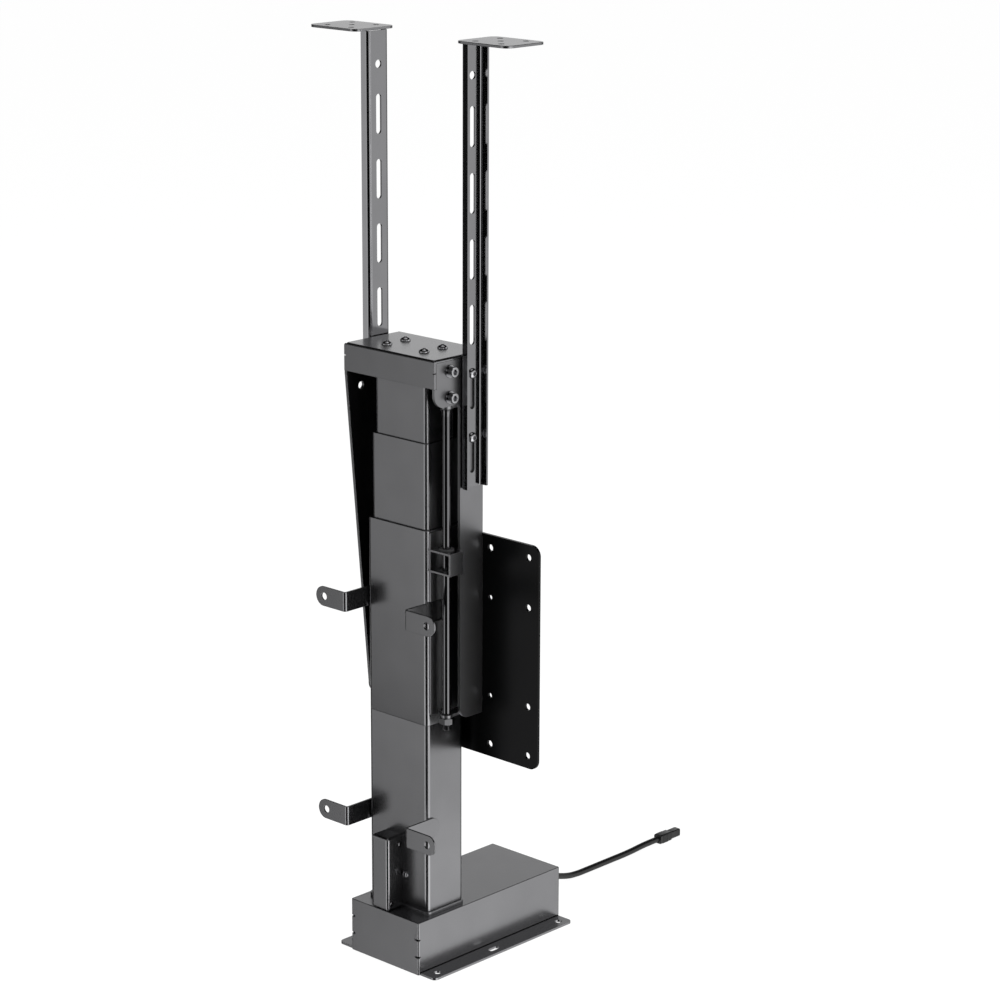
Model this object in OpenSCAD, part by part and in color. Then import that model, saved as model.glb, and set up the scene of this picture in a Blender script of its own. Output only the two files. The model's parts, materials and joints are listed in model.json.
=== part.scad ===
// Motor-driven lift that raises a television out of a cabinet.
// A three-stage column stands on a low base, carries a head with two arms and
// a screen plate, and holds two uprights that push the cabinet lid up.
// Origin: column axis at floor level. +Z is up, the screen plate faces -Y.

/* [Base housing] */
// Width of the base housing across the column
base_w = 95; // [90:1:110]
// Length of the base housing
base_len = 206.5; // [200:0.5:240]
// Distance from the column axis to the short end of the base
base_front = 45.2; // [40:0.1:60]
// Height of the base housing above the floor
base_h = 55.3; // [55:0.1:70]
// Sheet thickness of the base housing
base_wall = 2; // [1.5:0.1:3]
// Corner radius of the base housing
base_r = 1.6; // [1:0.1:4]
// Reach of each fixing flange beyond the housing
flange_w = 20.5; // [18:0.5:30]
// Thickness of the floor plate and its flanges
floor_t = 2.4; // [1.5:0.1:4]
// Corner radius of the flanges
flange_r = 5; // [2:0.5:8]
// Radius of the floor fixing holes
floor_hole_r = 3.6; // [2.5:0.1:4.5]
// Distance from the housing side to the floor fixing holes
floor_hole_out = 11.2; // [9:0.1:14]
// Distance from the column axis to the front floor fixing holes
floor_hole_front = 29.8; // [20:0.1:34]
// Distance between the front and the rear floor fixing holes
floor_hole_span = 177.4; // [150:0.1:180]
// Length of the middle fixing slot in each flange
floor_slot_len = 14; // [10:0.5:20]
// Width of the middle fixing slot in each flange
floor_slot_w = 6; // [4:0.5:8]
// Distance from the column axis back to the middle fixing slots
floor_slot_back = 51; // [40:1:70]

/* [Column tubes] */
// Width of the outer tube
tube_w = 81; // [78:0.5:90]
// Depth of the outer tube
tube_d = 50.4; // [48:0.2:56]
// Wall of the three tubes
tube_wall = 2; // [1.5:0.1:2.4]
// Outer corner radius of the outer tube
tube_r = 4; // [2.6:0.1:5]
// Gap between each tube and the next one inside it
stage_gap = 1; // [0.8:0.1:1.6]
// Thickness of the foot plate under the column
foot_t = 3.7; // [3:0.1:6]
// How far the foot plate shows round the column
foot_rim = 1.5; // [0.5:0.5:3]
// Height of the seam between the pedestal tube and the outer tube
seam_z = 253.6; // [240:0.1:260]
// Height of the outer tube's top edge
outer_top = 450.3; // [440:0.1:470]
// Height of the mid tube's lower end at rest
mid_bottom = 155; // [150:1:170]
// Height of the mid tube's top edge at rest
mid_top = 535; // [520:1:550]
// Height of the inner tube's lower end at rest
inner_bottom = 249; // [245:1:255]
// Length of each glide pad between the tubes
glide_h = 36; // [20:1:50]
// Clearance between a glide pad and the tube that slides on it
glide_play = 0.1; // [0.05:0.01:0.2]

/* [Head and arms] */
// Height of the head bracket's top face at rest
head_top = 622; // [610:1:640]
// Sheet thickness of the head bracket and the arms
arm_t = 3; // [2.5:0.1:3.5]
// Distance from the column axis to the outer face of each arm
arm_out = 60.8; // [60:0.1:66]
// Front edge of the head bracket
head_front = 35.3; // [33:0.1:38]
// Back edge of the head bracket
head_back = 37.4; // [37:0.1:42]
// Depth of the head bracket's front skirt below its top face
skirt_h = 27.8; // [20:0.1:35]
// Outer radius of the head bracket's folds
fold_r = 2.8; // [1:0.1:3]
// Depth of the head bracket's side ears below its top face
ear_h = 29; // [28:0.5:32]
// Radius of the lower front corner of the right arm's ear
ear_r = 13; // [8:1:16]
// Lower end of the arms
arm_bottom = 259.5; // [250:0.1:262]
// Front edge of the right arm below its ear
arm_front = 0.45; // [0:0.05:1.5]
// Radius of the arm corners
arm_r = 12; // [6:1:14]
// Half spacing of the head screws across the column
head_screw_x = 25; // [20:1:27]
// Half spacing of the head screws along the depth
head_screw_y = 12.5; // [7:0.5:12.5]
// Distance from the column axis to the arm bolts
arm_bolt_y = 14.5; // [12:0.1:16]
// Height of the upper arm bolt below the head's top face
arm_bolt_drop = 12.9; // [12:0.1:14]
// Distance between the two arm bolts
arm_bolt_pitch = 25.2; // [24:0.1:26]

/* [Screen plate] */
// Width of the screen plate
plate_w = 227; // [222:1:260]
// Height of the screen plate
plate_h = 225.6; // [220:0.1:250]
// Sideways offset of the screen plate's middle from the column
plate_x = -20.9; // [-22:0.1:-18]
// Height of the screen plate's lower edge at rest
plate_z = 216.3; // [210:0.1:220]
// Face of the screen plate that the arms stand on, behind the column axis
plate_y = 31.1; // [30:0.1:35]
// Thickness of the screen plate
plate_t = 3; // [2:0.1:4]
// Thickness of the plate that closes the back between the arms
back_t = 2.5; // [1.5:0.1:3]
// Corner radius of the screen plate
plate_r = 10; // [4:1:10]
// Outer spacing of the screen holes
vesa_outer = 200; // [180:1:200]
// Inner spacing of the screen holes
vesa_inner = 100; // [75:1:120]
// Radius of the outer screen holes
vesa_outer_r = 3.5; // [2.5:0.1:4]
// Radius of the inner screen holes
vesa_inner_r = 2.6; // [2:0.1:3.5]

/* [Lid uprights] */
// Depth of the upright channel
upright_d = 27.5; // [26:0.1:28]
// Outward reach of the channel's legs from its web
upright_leg = 9.4; // [9:0.1:15]
// Sheet thickness of the uprights
upright_t = 2; // [1.5:0.1:2.5]
// Outer radius of the channel's two bends
upright_r = 4; // [2.2:0.1:4.5]
// Distance from the column axis back to the upright's middle
upright_y = 13.8; // [13:0.1:15]
// Height of the upper clamp bolt of each upright below the head's top face
upright_bolt_drop = 19.3; // [16:0.1:22]
// Distance from the lowest slot's lower end to the upright's lower end
slot_end = 13.6; // [10:0.1:20]
// Distance from the upright's top to the highest slot
slot_drop = 59.9; // [50:0.1:60]
// Distance from one slot to the next
slot_pitch = 62.4; // [60:0.1:63]
// Length of each slot
slot_len = 38.4; // [38:0.1:44]
// Width of each slot
slot_w = 6.8; // [6.5:0.1:8]
// Height of the single hole below the upright's top
upright_hole_drop = 31.6; // [25:0.1:40]
// Width of the lid plates
lid_w = 66.5; // [55:0.1:75]
// Depth of the lid plates
lid_d = 53.3; // [50:0.1:60]
// Thickness of the lid plates
lid_t = 2.5; // [2:0.1:4]
// Corner radius of the lid plates
lid_r = 8.5; // [2:0.5:9]
// Overlap of each lid plate on the channel's legs
lid_lap = 6; // [4:0.1:7]
// Spacing of the lid screw holes
lid_hole_pitch = 32.6; // [28:0.1:36]
// Radius of the lid screw holes
lid_hole_r = 2.75; // [2:0.05:3.5]

/* [Guide rod] */
// Radius of the guide rod
rod_r = 4; // [3.5:0.1:4.5]
// Distance from the column axis out to the guide rod
rod_x = 55; // [54.5:0.1:56]
// Distance from the column axis forward to the guide rod
rod_y = 13; // [12.5:0.1:14]
// Lower end of the guide rod at rest
rod_bottom = 251.1; // [245:0.1:252]
// Height of the guide bracket's lower face
guide_z = 410.6; // [408:0.1:412]
// Height of the guide bracket
guide_h = 22.4; // [20:0.1:24]
// Sheet thickness of the guide bracket and its plate
guide_t = 2; // [1.5:0.1:2.2]
// Running clearance between the rod and its bushes
rod_play = 0.05; // [0.02:0.01:0.1]

/* [Wall brackets] */
// Height of each wall bracket strip
wall_h = 20; // [16:1:24]
// Thickness of the wall bracket strip
wall_t = 2; // [1.5:0.1:2.5]
// Distance from the column axis to the face that meets the cabinet
wall_y = 56.6; // [54:0.1:70]
// Reach of each wall tab from the column axis
wall_reach = 81.5; // [78:0.1:90]
// Distance from the column axis out to the wall fixing holes
wall_hole_x = 70.3; // [68:0.1:72]
// Radius of the wall fixing holes
wall_hole_r = 3.75; // [2.5:0.05:4.5]
// Height of the upper wall brackets' middle
wall_upper_z = 369.5; // [355:0.1:380]
// Height of the lower wall brackets' middle
wall_lower_z = 147.5; // [140:0.1:160]

/* [Receiver box] */
// Width of the receiver box
receiver_w = 23.2; // [20:0.1:30]
// Height of the receiver box
receiver_h = 77.2; // [70:0.1:85]
// Sideways place of the receiver box's middle
receiver_x = 6.6; // [4:0.1:10]
// Wall of the receiver box
receiver_wall = 1.5; // [1:0.1:2]

/* [Drive] */
// Radius of the motor
motor_r = 19; // [17:0.5:20]
// Length of the motor
motor_len = 84; // [70:1:90]
// Distance between the worm and the spindle axis
worm_offset = 22; // [21:0.5:24]
// Radius of the worm wheel
wheel_r = 15.6; // [14:0.1:15.8]
// Teeth on the worm wheel
wheel_teeth = 24; // [20:1:30]
// Height of the motor axis above the floor
motor_z = 28; // [26:0.5:30]
// Hexagon of the drive shaft, across flats
drive_af = 7; // [6:0.1:7.2]
// Height of the drive shaft's top
drive_top = 255; // [250:1:260]
// Outer radius of the inner spindle
screw_in_r = 6; // [5.5:0.1:6.4]
// Outer radius of the outer spindle
screw_out_r = 12; // [11.6:0.1:12.4]
// Outer radius of the fixed support tube
support_r = 9.3; // [9:0.1:9.4]
// Bore radius of the fixed support tube
support_bore = 7.5; // [7:0.1:7.8]
// Height of the support tube's top
support_top = 208; // [200:1:212]
// Running clearance of the spindles in their nuts and bearings
screw_play = 0.06; // [0.02:0.01:0.1]

/* [Power lead] */
// Radius of the power lead
lead_r = 3.25; // [2.8:0.05:3.3]
// Sides of the power lead's tube
lead_sides = 10; // [8:1:12]
// Sideways place of the lead's exit
lead_x = 12; // [8:1:16]
// Height of the lead's exit
lead_z = 19; // [18:0.5:20]

/* [Hidden] */
$fn = 48;
eps = 0.01;
powder = [0.14, 0.14, 0.15];
zinc = [0.62, 0.63, 0.65];
oxide = [0.08, 0.08, 0.09];
nylon = [0.2, 0.2, 0.21];
brass = [0.72, 0.56, 0.25];
board_green = [0.1, 0.35, 0.2];

// Base, worked out
base_back = base_front - base_len;
fit = 0.1;
flange_x = base_w / 2 + flange_w;
floor_hole_x = base_w / 2 + floor_hole_out;
floor_hole_back = floor_hole_front - floor_hole_span;
notch_w = 1.2;
notch_reach = 5;
drive_hole_r = 20;
base_screw_r = 1.5;
base_screw_head = 2.8;
lug_w = 9;
lug_inset = 20;

// Column, worked out
foot_z = base_h;
column_z = foot_z + foot_t;
step = tube_wall + stage_gap;
mid_w = tube_w - 2 * step;
mid_d = tube_d - 2 * step;
mid_r = tube_r - 0.2;
mid_bore_r = mid_r - tube_wall + 0.2;
inner_step = step - 0.2;
inner_w = mid_w - 2 * inner_step;
inner_d = mid_d - 2 * inner_step;
inner_r = mid_r - 0.2;
inner_bore_r = inner_r - tube_wall + 0.2;
head_under = head_top - arm_t;
cap_h = 10;
lift_nut_h = 16;
foot_screw_x = 33;
foot_screw_y = 16;
foot_nut_h = 3;

// Head and arms, worked out
ear_out = arm_out - arm_t;
ear_in = ear_out - arm_t;
arm_bolt_z = head_top - arm_bolt_drop;
arm_head_back = head_back - 0.4;
arm_head_front = head_front - 0.4;
ear_bottom = head_top - ear_h;
ear_front = 28;
skirt_back = head_front - arm_t - fit;
skirt_z = head_top - skirt_h;
relief_r = 1.4;
relief_in = 1.8;
relief_back = 2.3;
mark_h = 0.8;
mark_w = 2.4;
mark_z = 609;
neck_z = 566;
arm_step_z = 575;
arm_shoulder_y = 34.8;
arm_shoulder_z = 592;
arm_toe_y = 5.9;
arm_toe_z = 273;
back_lap = 8;
spare_hole_r = 3.7;
spare_hole_y = 15.5;
spare_hole_z = 577;
m8_af = 13;
m8_nut_h = 6.5;
m6_r = 3;
m6_hole_r = 3.2;
m6_af = 10;
m6_nut_h = 5;
m6_head_r = 5.25;
m6_head_h = 3.9;
m6_socket_r = 5;
m6_socket_h = 6;
washer_t = 1.6;
washer_r = 6.2;
thread_fit = 0.05;

// Uprights, worked out
upright_x = arm_out + 0.2;
slot_count = 6;
upright_bolt_gap = 3.7;
upright_bolt_z = [head_top - upright_bolt_drop, head_top - upright_bolt_drop - slot_pitch];
upright_bottom = upright_bolt_z[1] + upright_bolt_gap - slot_len - slot_end;
upright_len = slot_end + (slot_count - 1) * slot_pitch + slot_len + slot_drop;
upright_top = upright_bottom + upright_len;
slot_top = upright_top - slot_drop;
lid_x = upright_x + upright_leg - lid_lap;
lid_y = -upright_y - 0.6;

// Receiver box, worked out
receiver_back = tube_d / 2 + fit;
receiver_screw_z = [7.5, receiver_h - 9.2];
receiver_screw_y = [receiver_back + 15.6, receiver_back + 3.6];

// Guide rod, worked out
tab_t = 3;
tab_in = 49.4;
tab_back = 12;
tab_top_z = arm_step_z - tab_t;
tab_low_z = 264;
rod_top = tab_top_z + tab_t;
guide_plate_z = 265;
guide_plate_top = 449;
guide_plate_half = 22.4;
guide_back = 5.5;
guide_front = 23.4;
guide_out = 69.8;
bush_r = 6;
bush_rim = 7.4;
bush_rim_t = 1.2;

// Control board, worked out
board_side = 4;
board_end = 14;
board_w = 34;
board_len = 110;
board_t = 1.6;
board_post_h = 5;
board_post_r = 2.5;
board_post_in = 4;
supply_w = 18;
supply_len = 24;
supply_h = 20;
supply_y = 28;
relay_w = 26;
relay_len = 20;
relay_h = 12;
relay_y = 62;
capacitor_r = 5;
capacitor_h = 18;
capacitor_x = 26;
capacitor_y = 40;

// Drive, worked out
gear_half_y = 24;
gear_z = floor_t;
gear_top = 50;
gear_in = 21;
gear_out = 14;
wheel_z = 20;
wheel_h = 16;
worm_r = 6;
worm_shaft_r = 3;
worm_core_r = 4.2;
worm_len = 26;
worm_start = 18;
worm_ring = 2.4;
worm_ring_step = 4;
worm_rings = 6;
motor_socket = 8;
motor_boss_r = 6;
motor_boss_h = 4;
journal_r = 4;
support_collar_r = 16;
support_collar_t = 3;
spindle_collar_r = 14;
spindle_collar_t = 3;
bearing_r = 11;
bearing_h = 7;
nut_h = 14;
screw_low = 140;
sleeve_low = 160;
sleeve_top = 338;
sleeve_cap = 6;
sleeve_bore = support_r + 0.7;
end_plate_h = 11.3;
thrust_r = 15;
thrust_h = 7;

// Power lead, worked out
gland_len = 13.7;
gland_tip = base_back - gland_len;
lead_end = -388;
plug_axis = 5;
lead_route = [[lead_x, gland_tip, lead_z], [lead_x, -188, lead_z], [12, -201, 17.6],
              [12, -215, 13.4], [12, -229, 8.4], [12, -243, 4.9], [12, -257, 3.5],
              [12, -271, 3.35], [12, -286, 3.35], [12, -301, 3.35], [12, -316, 3.35],
              [12, -331, 3.35], [12, -346, 3.8], [12, -361, 4.7], [12, -374, plug_axis],
              [12, lead_end, plug_axis]];

// Outline with round corners, centred
module rounded_rect(w, d, r) {
    square([w - 2 * r, d], center = true);
    square([w, d - 2 * r], center = true);
    for (x = [-1, 1], y = [-1, 1])
        translate([x * (w / 2 - r), y * (d / 2 - r)]) circle(r = r);
}

// Slot outline with round ends, long along its second direction
module slot_shape(w, len) {
    square([w, len - w], center = true);
    for (s = [-1, 1]) translate([0, s * (len - w) / 2]) circle(r = w / 2);
}

// Plate standing across X: its outline is drawn in Y and Z
module yz_plate(x, t) {
    translate([x, 0, 0]) rotate([90, 0, 90]) linear_extrude(t) children();
}

// Plate standing across Y: its outline is drawn in X and Z, and it goes back from y
module xz_plate(y, t) {
    translate([0, y, 0]) rotate([90, 0, 0]) linear_extrude(t) children();
}

// Copy for the side at +X as drawn, or mirrored to -X
module on_side(side) {
    if (side > 0) children();
    else mirror([1, 0, 0]) children();
}

// Round bar or bore along X from x0 to x1
module along_x(x0, x1, r) {
    translate([x0, 0, 0]) rotate([0, 90, 0]) cylinder(r = r, h = x1 - x0);
}

// Rectangular tube of the column
module column_tube(w, d, r, z0, z1) {
    translate([0, 0, z0]) linear_extrude(z1 - z0) difference() {
        rounded_rect(w, d, r);
        rounded_rect(w - 2 * tube_wall, d - 2 * tube_wall, max(r - tube_wall, 0.2));
    }
}

// Hexagon prism across flats, on +Z
module hexagon(af, h) {
    rotate([0, 0, 30]) cylinder(r = af / sqrt(3), h = h, $fn = 6);
}

// Hexagon nut with a plain bore
module hex_nut(af, h, bore_r) {
    difference() {
        hexagon(af, h);
        translate([0, 0, -1]) cylinder(r = bore_r, h = h + 2);
    }
}

// Button-head screw: head above z = 0, shank below it
module button_screw(r, head_r, head_h, len) {
    dome = head_r * 1.1;
    difference() {
        union() {
            intersection() {
                cylinder(r = head_r, h = head_h);
                translate([0, 0, head_h - dome]) sphere(r = dome);
            }
            translate([0, 0, -len]) cylinder(r = r, h = len + 1);
        }
        translate([0, 0, head_h * 0.45]) hexagon(head_r * 0.76, head_h);
    }
}

// Socket-head bolt: head above z = 0, shank below it
module socket_bolt(r, head_r, head_h, len) {
    difference() {
        union() {
            cylinder(r = head_r, h = head_h);
            translate([0, 0, -len]) cylinder(r = r, h = len + 1);
        }
        translate([0, 0, head_h * 0.5]) hexagon(head_r * 0.92, head_h);
    }
}

// Places of the four screws between the floor plate and the housing's lugs
module at_base_screws() {
    for (x = [-1, 1], y = [base_front - lug_inset, base_back + lug_inset])
        translate([x * (base_w / 2 - base_wall - lug_w / 2), y, 0]) children();
}

// Flat floor plate whose sides are the fixing flanges
module base_plate() {
    color(powder) difference() {
        translate([0, (base_front + base_back) / 2, 0]) linear_extrude(floor_t)
            rounded_rect(2 * flange_x, base_len - 2 * (base_wall + fit), flange_r);
        for (x = [-1, 1], y = [floor_hole_front, floor_hole_back])
            translate([x * floor_hole_x, y, -1]) cylinder(r = floor_hole_r, h = floor_t + 2);
        for (x = [-1, 1])
            translate([x * floor_hole_x, -floor_slot_back, -1]) linear_extrude(floor_t + 2)
                slot_shape(floor_slot_w, floor_slot_len);
        at_base_screws() {
            translate([0, 0, -1]) cylinder(r = base_screw_r + 0.2, h = floor_t + 2);
            translate([0, 0, -1]) cylinder(r = base_screw_head + 0.3, h = floor_t / 2 + 1);
        }
    }
}

// Folded housing: the ends come down to the floor, the sides stand on the plate
module base_cover() {
    hollow_w = base_w - 2 * base_wall;
    hollow_len = base_len - 2 * base_wall;
    color(powder) difference() {
        union() {
            difference() {
                translate([0, (base_front + base_back) / 2, 0]) linear_extrude(base_h)
                    rounded_rect(base_w, base_len, base_r);
                translate([-hollow_w / 2, base_back + base_wall, -1])
                    cube([hollow_w, hollow_len, base_h - base_wall + 1]);
            }
            at_base_screws() translate([-lug_w / 2 - eps, -lug_w / 2, floor_t])
                cube([lug_w + 2 * eps, lug_w, base_wall]);
        }
        at_base_screws() cylinder(r = base_screw_r + 0.1, h = 2 * floor_t + base_wall);
        translate([-base_w, base_back + base_wall, -1]) cube([2 * base_w, hollow_len, floor_t + 1]);
        translate([0, 0, base_h - base_wall - 1]) cylinder(r = drive_hole_r, h = base_wall + 2);
        at_foot_screws(base_h - base_wall - 1) cylinder(r = m6_hole_r, h = base_wall + 2);
        translate([lead_x, base_back + base_wall + 1, lead_z]) rotate([90, 0, 0])
            cylinder(r = 5, h = base_wall + 2);
        // Relief slits where the folded sides and ends interlock
        for (x = [-1, 1], z = [0.34, 0.67])
            translate([x * (base_w / 2 - notch_reach / 2), base_front, base_h * z])
                cube([notch_reach, 2 * base_wall + 1, notch_w], center = true);
    }
}

// Screws from below through the floor plate into the housing's lugs
module base_screws() {
    color(zinc) at_base_screws() {
        translate([0, 0, 0.1]) cylinder(r = base_screw_head, h = floor_t / 2 - 0.1);
        cylinder(r = base_screw_r, h = floor_t + base_wall + 1.5);
    }
}

// Circuit board of the motor control, on four posts
module control_board() {
    top = floor_t + board_post_h;
    color(board_green) translate([-base_w / 2 + base_wall + board_side, base_back + board_end, 0]) {
        translate([0, 0, top]) cube([board_w, board_len, board_t]);
        for (x = [board_post_in, board_w - board_post_in], y = [board_end, board_len - board_end])
            translate([x, y, floor_t]) cylinder(r = board_post_r, h = board_post_h + eps);
        translate([board_post_in, supply_y, top]) cube([supply_w, supply_len, supply_h]);
        translate([board_post_in, relay_y, top]) cube([relay_w, relay_len, relay_h]);
        translate([capacitor_x, capacitor_y, top]) cylinder(r = capacitor_r, h = capacitor_h);
    }
}

// Tapered strain relief clipped into the base's end wall
module lead_gland() {
    wall_in = base_wall + 0.4;
    color(nylon) translate([lead_x, base_back, lead_z]) rotate([90, 0, 0]) {
        rotate_extrude() polygon([[0, -wall_in - 2], [6.4, -wall_in - 2], [6.4, -wall_in],
                                  [4.9, -wall_in], [4.9, 0], [7.8, 0], [7.8, 2], [6.2, 2.2],
                                  [4.2, gland_len], [0, gland_len]]);
    }
}

// Direction of a route at point i
function route_dir(p, i) =
    let (a = p[max(i - 1, 0)], b = p[min(i + 1, len(p) - 1)],
         d = i == 0 ? p[1] - p[0] : i == len(p) - 1 ? p[i] - p[i - 1] : b - a)
    d / norm(d);

// Ring of a round tube about a route point, square to the route
function route_ring(p, i, r, n) =
    let (t = route_dir(p, i), side = [1, 0, 0], up = cross(side, t))
    [for (k = [0 : n - 1]) p[i] + r * (cos(360 * k / n) * side + sin(360 * k / n) * up)];

// Power lead: one tube swept along its route
module power_lead() {
    n = lead_sides;
    last = len(lead_route) - 1;
    pts = [for (i = [0 : last]) each route_ring(lead_route, i, lead_r, n)];
    walls = [for (i = [0 : last - 1], k = [0 : n - 1])
             [i * n + k, i * n + (k + 1) % n, (i + 1) * n + (k + 1) % n, (i + 1) * n + k]];
    caps = [[for (k = [n - 1 : -1 : 0]) k], [for (k = [0 : n - 1]) last * n + k]];
    color(oxide) polyhedron(points = pts, faces = concat(caps, walls), convexity = 4);
}

// Plug on the end of the lead: a body and a narrower nose with its socket
module lead_plug() {
    body = [10.4, 19, 10];
    nose = [8.8, 15, 8.4];
    color(oxide) translate([lead_x, lead_end, plug_axis]) difference() {
        union() {
            translate([0, -body[1] / 2, 0]) cube(body, center = true);
            translate([0, -body[1] - nose[1] / 2 + eps, 0]) cube(nose, center = true);
        }
        translate([0, -body[1] - nose[1], 0]) cube([6.2, 18, 5.8], center = true);
    }
}

// Motor can with its end boss and front flange, lying along the base
module motor() {
    color(oxide) translate([worm_offset, -gear_half_y, motor_z]) rotate([90, 0, 0]) difference() {
        union() {
            cylinder(r = motor_r, h = motor_len);
            translate([0, 0, motor_len - eps]) cylinder(r = motor_boss_r, h = motor_boss_h);
        }
        translate([0, 0, -1]) cylinder(r = journal_r, h = motor_socket + 1);
    }
}

// Worm on the motor shaft
module motor_worm() {
    color(zinc) translate([worm_offset, 1 - gear_half_y - motor_socket, motor_z]) rotate([-90, 0, 0]) {
        cylinder(r = worm_shaft_r, h = worm_start + worm_len + 2);
        for (k = [1 : worm_rings])
            translate([0, 0, worm_start - 2 + worm_ring_step * k])
                cylinder(r = worm_r - fit, h = worm_ring);
        translate([0, 0, worm_start]) cylinder(r = worm_core_r, h = worm_len);
    }
}

// Cast gearbox that holds the worm, the wheel and both bearings
module gearbox() {
    color(zinc) difference() {
        translate([-gear_in, -gear_half_y, gear_z])
            cube([gear_in + worm_offset + gear_out, 2 * gear_half_y, gear_top - gear_z]);
        translate([0, 0, gear_z + bearing_h + 1])
            cylinder(r = wheel_r + 2, h = gear_top - gear_z - 2 * bearing_h - 2);
        translate([0, 0, gear_z - 1]) cylinder(r = bearing_r, h = bearing_h + 2.5);
        translate([0, 0, gear_top - bearing_h - 1.5]) cylinder(r = bearing_r, h = bearing_h + 3);
        translate([worm_offset, -gear_half_y - 1, motor_z]) rotate([-90, 0, 0])
            cylinder(r = worm_r + 1.5, h = 2 * gear_half_y - 3);
    }
}

// Rings of the drive shaft's two bearings
module gearbox_bearings() {
    color(zinc) for (z = [gear_z, gear_top - bearing_h]) translate([0, 0, z]) difference() {
        cylinder(r = bearing_r, h = bearing_h);
        translate([0, 0, -1]) cylinder(r = journal_r + screw_play, h = bearing_h + 2);
    }
}

// Worm wheel, bored to sit on the drive shaft's journal
module worm_wheel() {
    tooth = 360 / wheel_teeth;
    color(brass) translate([0, 0, wheel_z]) difference() {
        cylinder(r = wheel_r, h = wheel_h);
        translate([0, 0, -1]) cylinder(r = journal_r + thread_fit, h = wheel_h + 2);
        for (k = [0 : wheel_teeth - 1]) rotate([0, 0, k * tooth])
            translate([wheel_r, 0, wheel_h / 2]) cube([2.4, 1.8, wheel_h + 2], center = true);
    }
}

// Drive shaft: a round journal through the wheel, a hexagon above it
module drive_shaft() {
    color(zinc) {
        translate([0, 0, gear_z + 0.5]) cylinder(r = journal_r, h = gear_top - gear_z + 0.5);
        translate([0, 0, gear_top + 1 - eps]) hexagon(drive_af, drive_top - gear_top - 1);
    }
}

// Fixed tube that carries the lower nut
module support_tube() {
    color(zinc) translate([0, 0, gear_top]) difference() {
        union() {
            cylinder(r = support_r, h = support_top - gear_top);
            cylinder(r = support_collar_r, h = support_collar_t);
        }
        translate([0, 0, -1]) cylinder(r = support_bore, h = support_top - gear_top + 2);
    }
}

// Nut on the support tube, in which the inner spindle climbs
module base_nut() {
    color(brass) translate([0, 0, support_top]) difference() {
        cylinder(r = support_r, h = nut_h);
        translate([0, 0, -1]) cylinder(r = screw_in_r + screw_play, h = nut_h + 2);
    }
}

// Places of the four screws in the column's foot
module at_foot_screws(z) {
    for (x = [-1, 1], y = [-1, 1]) translate([x * foot_screw_x, y * foot_screw_y, z]) children();
}

// Foot plate welded under the column
module foot_plate() {
    color(powder) translate([0, 0, foot_z]) difference() {
        linear_extrude(foot_t)
            rounded_rect(tube_w + 2 * foot_rim, tube_d + 2 * foot_rim, tube_r + foot_rim);
        translate([0, 0, -1]) cylinder(r = drive_hole_r, h = foot_t + 2);
        at_foot_screws(-1) cylinder(r = m6_hole_r, h = foot_t + 2);
    }
}

// Screws that clamp the foot plate to the housing's top
module foot_screws() {
    color(zinc) at_foot_screws(foot_z + foot_t) difference() {
        union() {
            cylinder(r = m6_head_r - 0.4, h = m6_head_h);
            translate([0, 0, -foot_t - base_wall - foot_nut_h + 0.2])
                cylinder(r = m6_r, h = foot_t + base_wall + foot_nut_h);
        }
        translate([0, 0, m6_head_h - 1.6]) hexagon(4, 2);
    }
}

// Thin nuts of the foot screws, inside the housing
module foot_nuts() {
    color(zinc) at_foot_screws(base_h - base_wall - foot_nut_h)
        hex_nut(m6_af, foot_nut_h, m6_r + thread_fit);
}

// Lower part of the outer column
module pedestal_tube() {
    color(powder) column_tube(tube_w, tube_d, tube_r, column_z, seam_z);
}

// Upper part of the outer column
module outer_tube() {
    color(powder) column_tube(tube_w, tube_d, tube_r, seam_z, outer_top);
}

// Eight glide pads on the inside of a tube of outer size w by d
module glide_pads(w, d, gap, top) {
    t = gap - glide_play;
    pad = 12;
    in_x = w / 2 - tube_wall;
    in_y = d / 2 - tube_wall;
    for (x = [-1, 1], y = [-1, 1]) {
        translate([x * (in_x - t / 2), y * (in_y - 9), top - glide_h / 2])
            cube([t, pad, glide_h], center = true);
        translate([x * (in_x - 12), y * (in_y - t / 2), top - glide_h / 2])
            cube([pad, t, glide_h], center = true);
    }
}

// Glide pads inside the outer tube's mouth
module outer_glides() {
    color(nylon) glide_pads(tube_w, tube_d, stage_gap, outer_top - 2);
}

// Backing plate of the rod guide, notched round the upper wall bracket
module guide_plate() {
    z_mid = (guide_plate_z + guide_plate_top) / 2;
    notch = wall_h + 1;
    color(powder) on_side(-1) yz_plate(tube_w / 2, guide_t) difference() {
        translate([0, z_mid]) rounded_rect(2 * guide_plate_half, guide_plate_top - guide_plate_z, 1.5);
        translate([wall_web_back(1) - 0.6, wall_upper_z - notch / 2])
            square([2 * guide_plate_half, notch]);
        translate([6, guide_plate_z - 1]) square([6, 5]);
    }
}

// Bracket that stands off the column and carries the rod's bushes
module guide_bracket() {
    depth = guide_front - guide_back;
    x_in = tube_w / 2 + guide_t;
    color(powder) on_side(-1) difference() {
        translate([x_in, guide_back, guide_z]) cube([guide_out - x_in, depth, guide_h]);
        translate([x_in - 1, guide_back - 1, guide_z + guide_t])
            cube([guide_out - guide_t - x_in + 1, depth + 2, guide_h - 2 * guide_t]);
        translate([rod_x, rod_y, guide_z - 1]) cylinder(r = bush_r, h = guide_h + 2);
    }
}

// Flanged bushes in the bracket's two legs
module guide_bushes() {
    color(nylon) on_side(-1) for (z = [guide_z, guide_z + guide_h - guide_t])
        translate([rod_x, rod_y, z]) difference() {
            union() {
                cylinder(r = bush_r, h = guide_t);
                translate([0, 0, z > guide_z ? guide_t : -bush_rim_t])
                    cylinder(r = bush_rim, h = bush_rim_t);
            }
            translate([0, 0, -3]) cylinder(r = rod_r + rod_play, h = guide_t + 6);
        }
}

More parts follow.
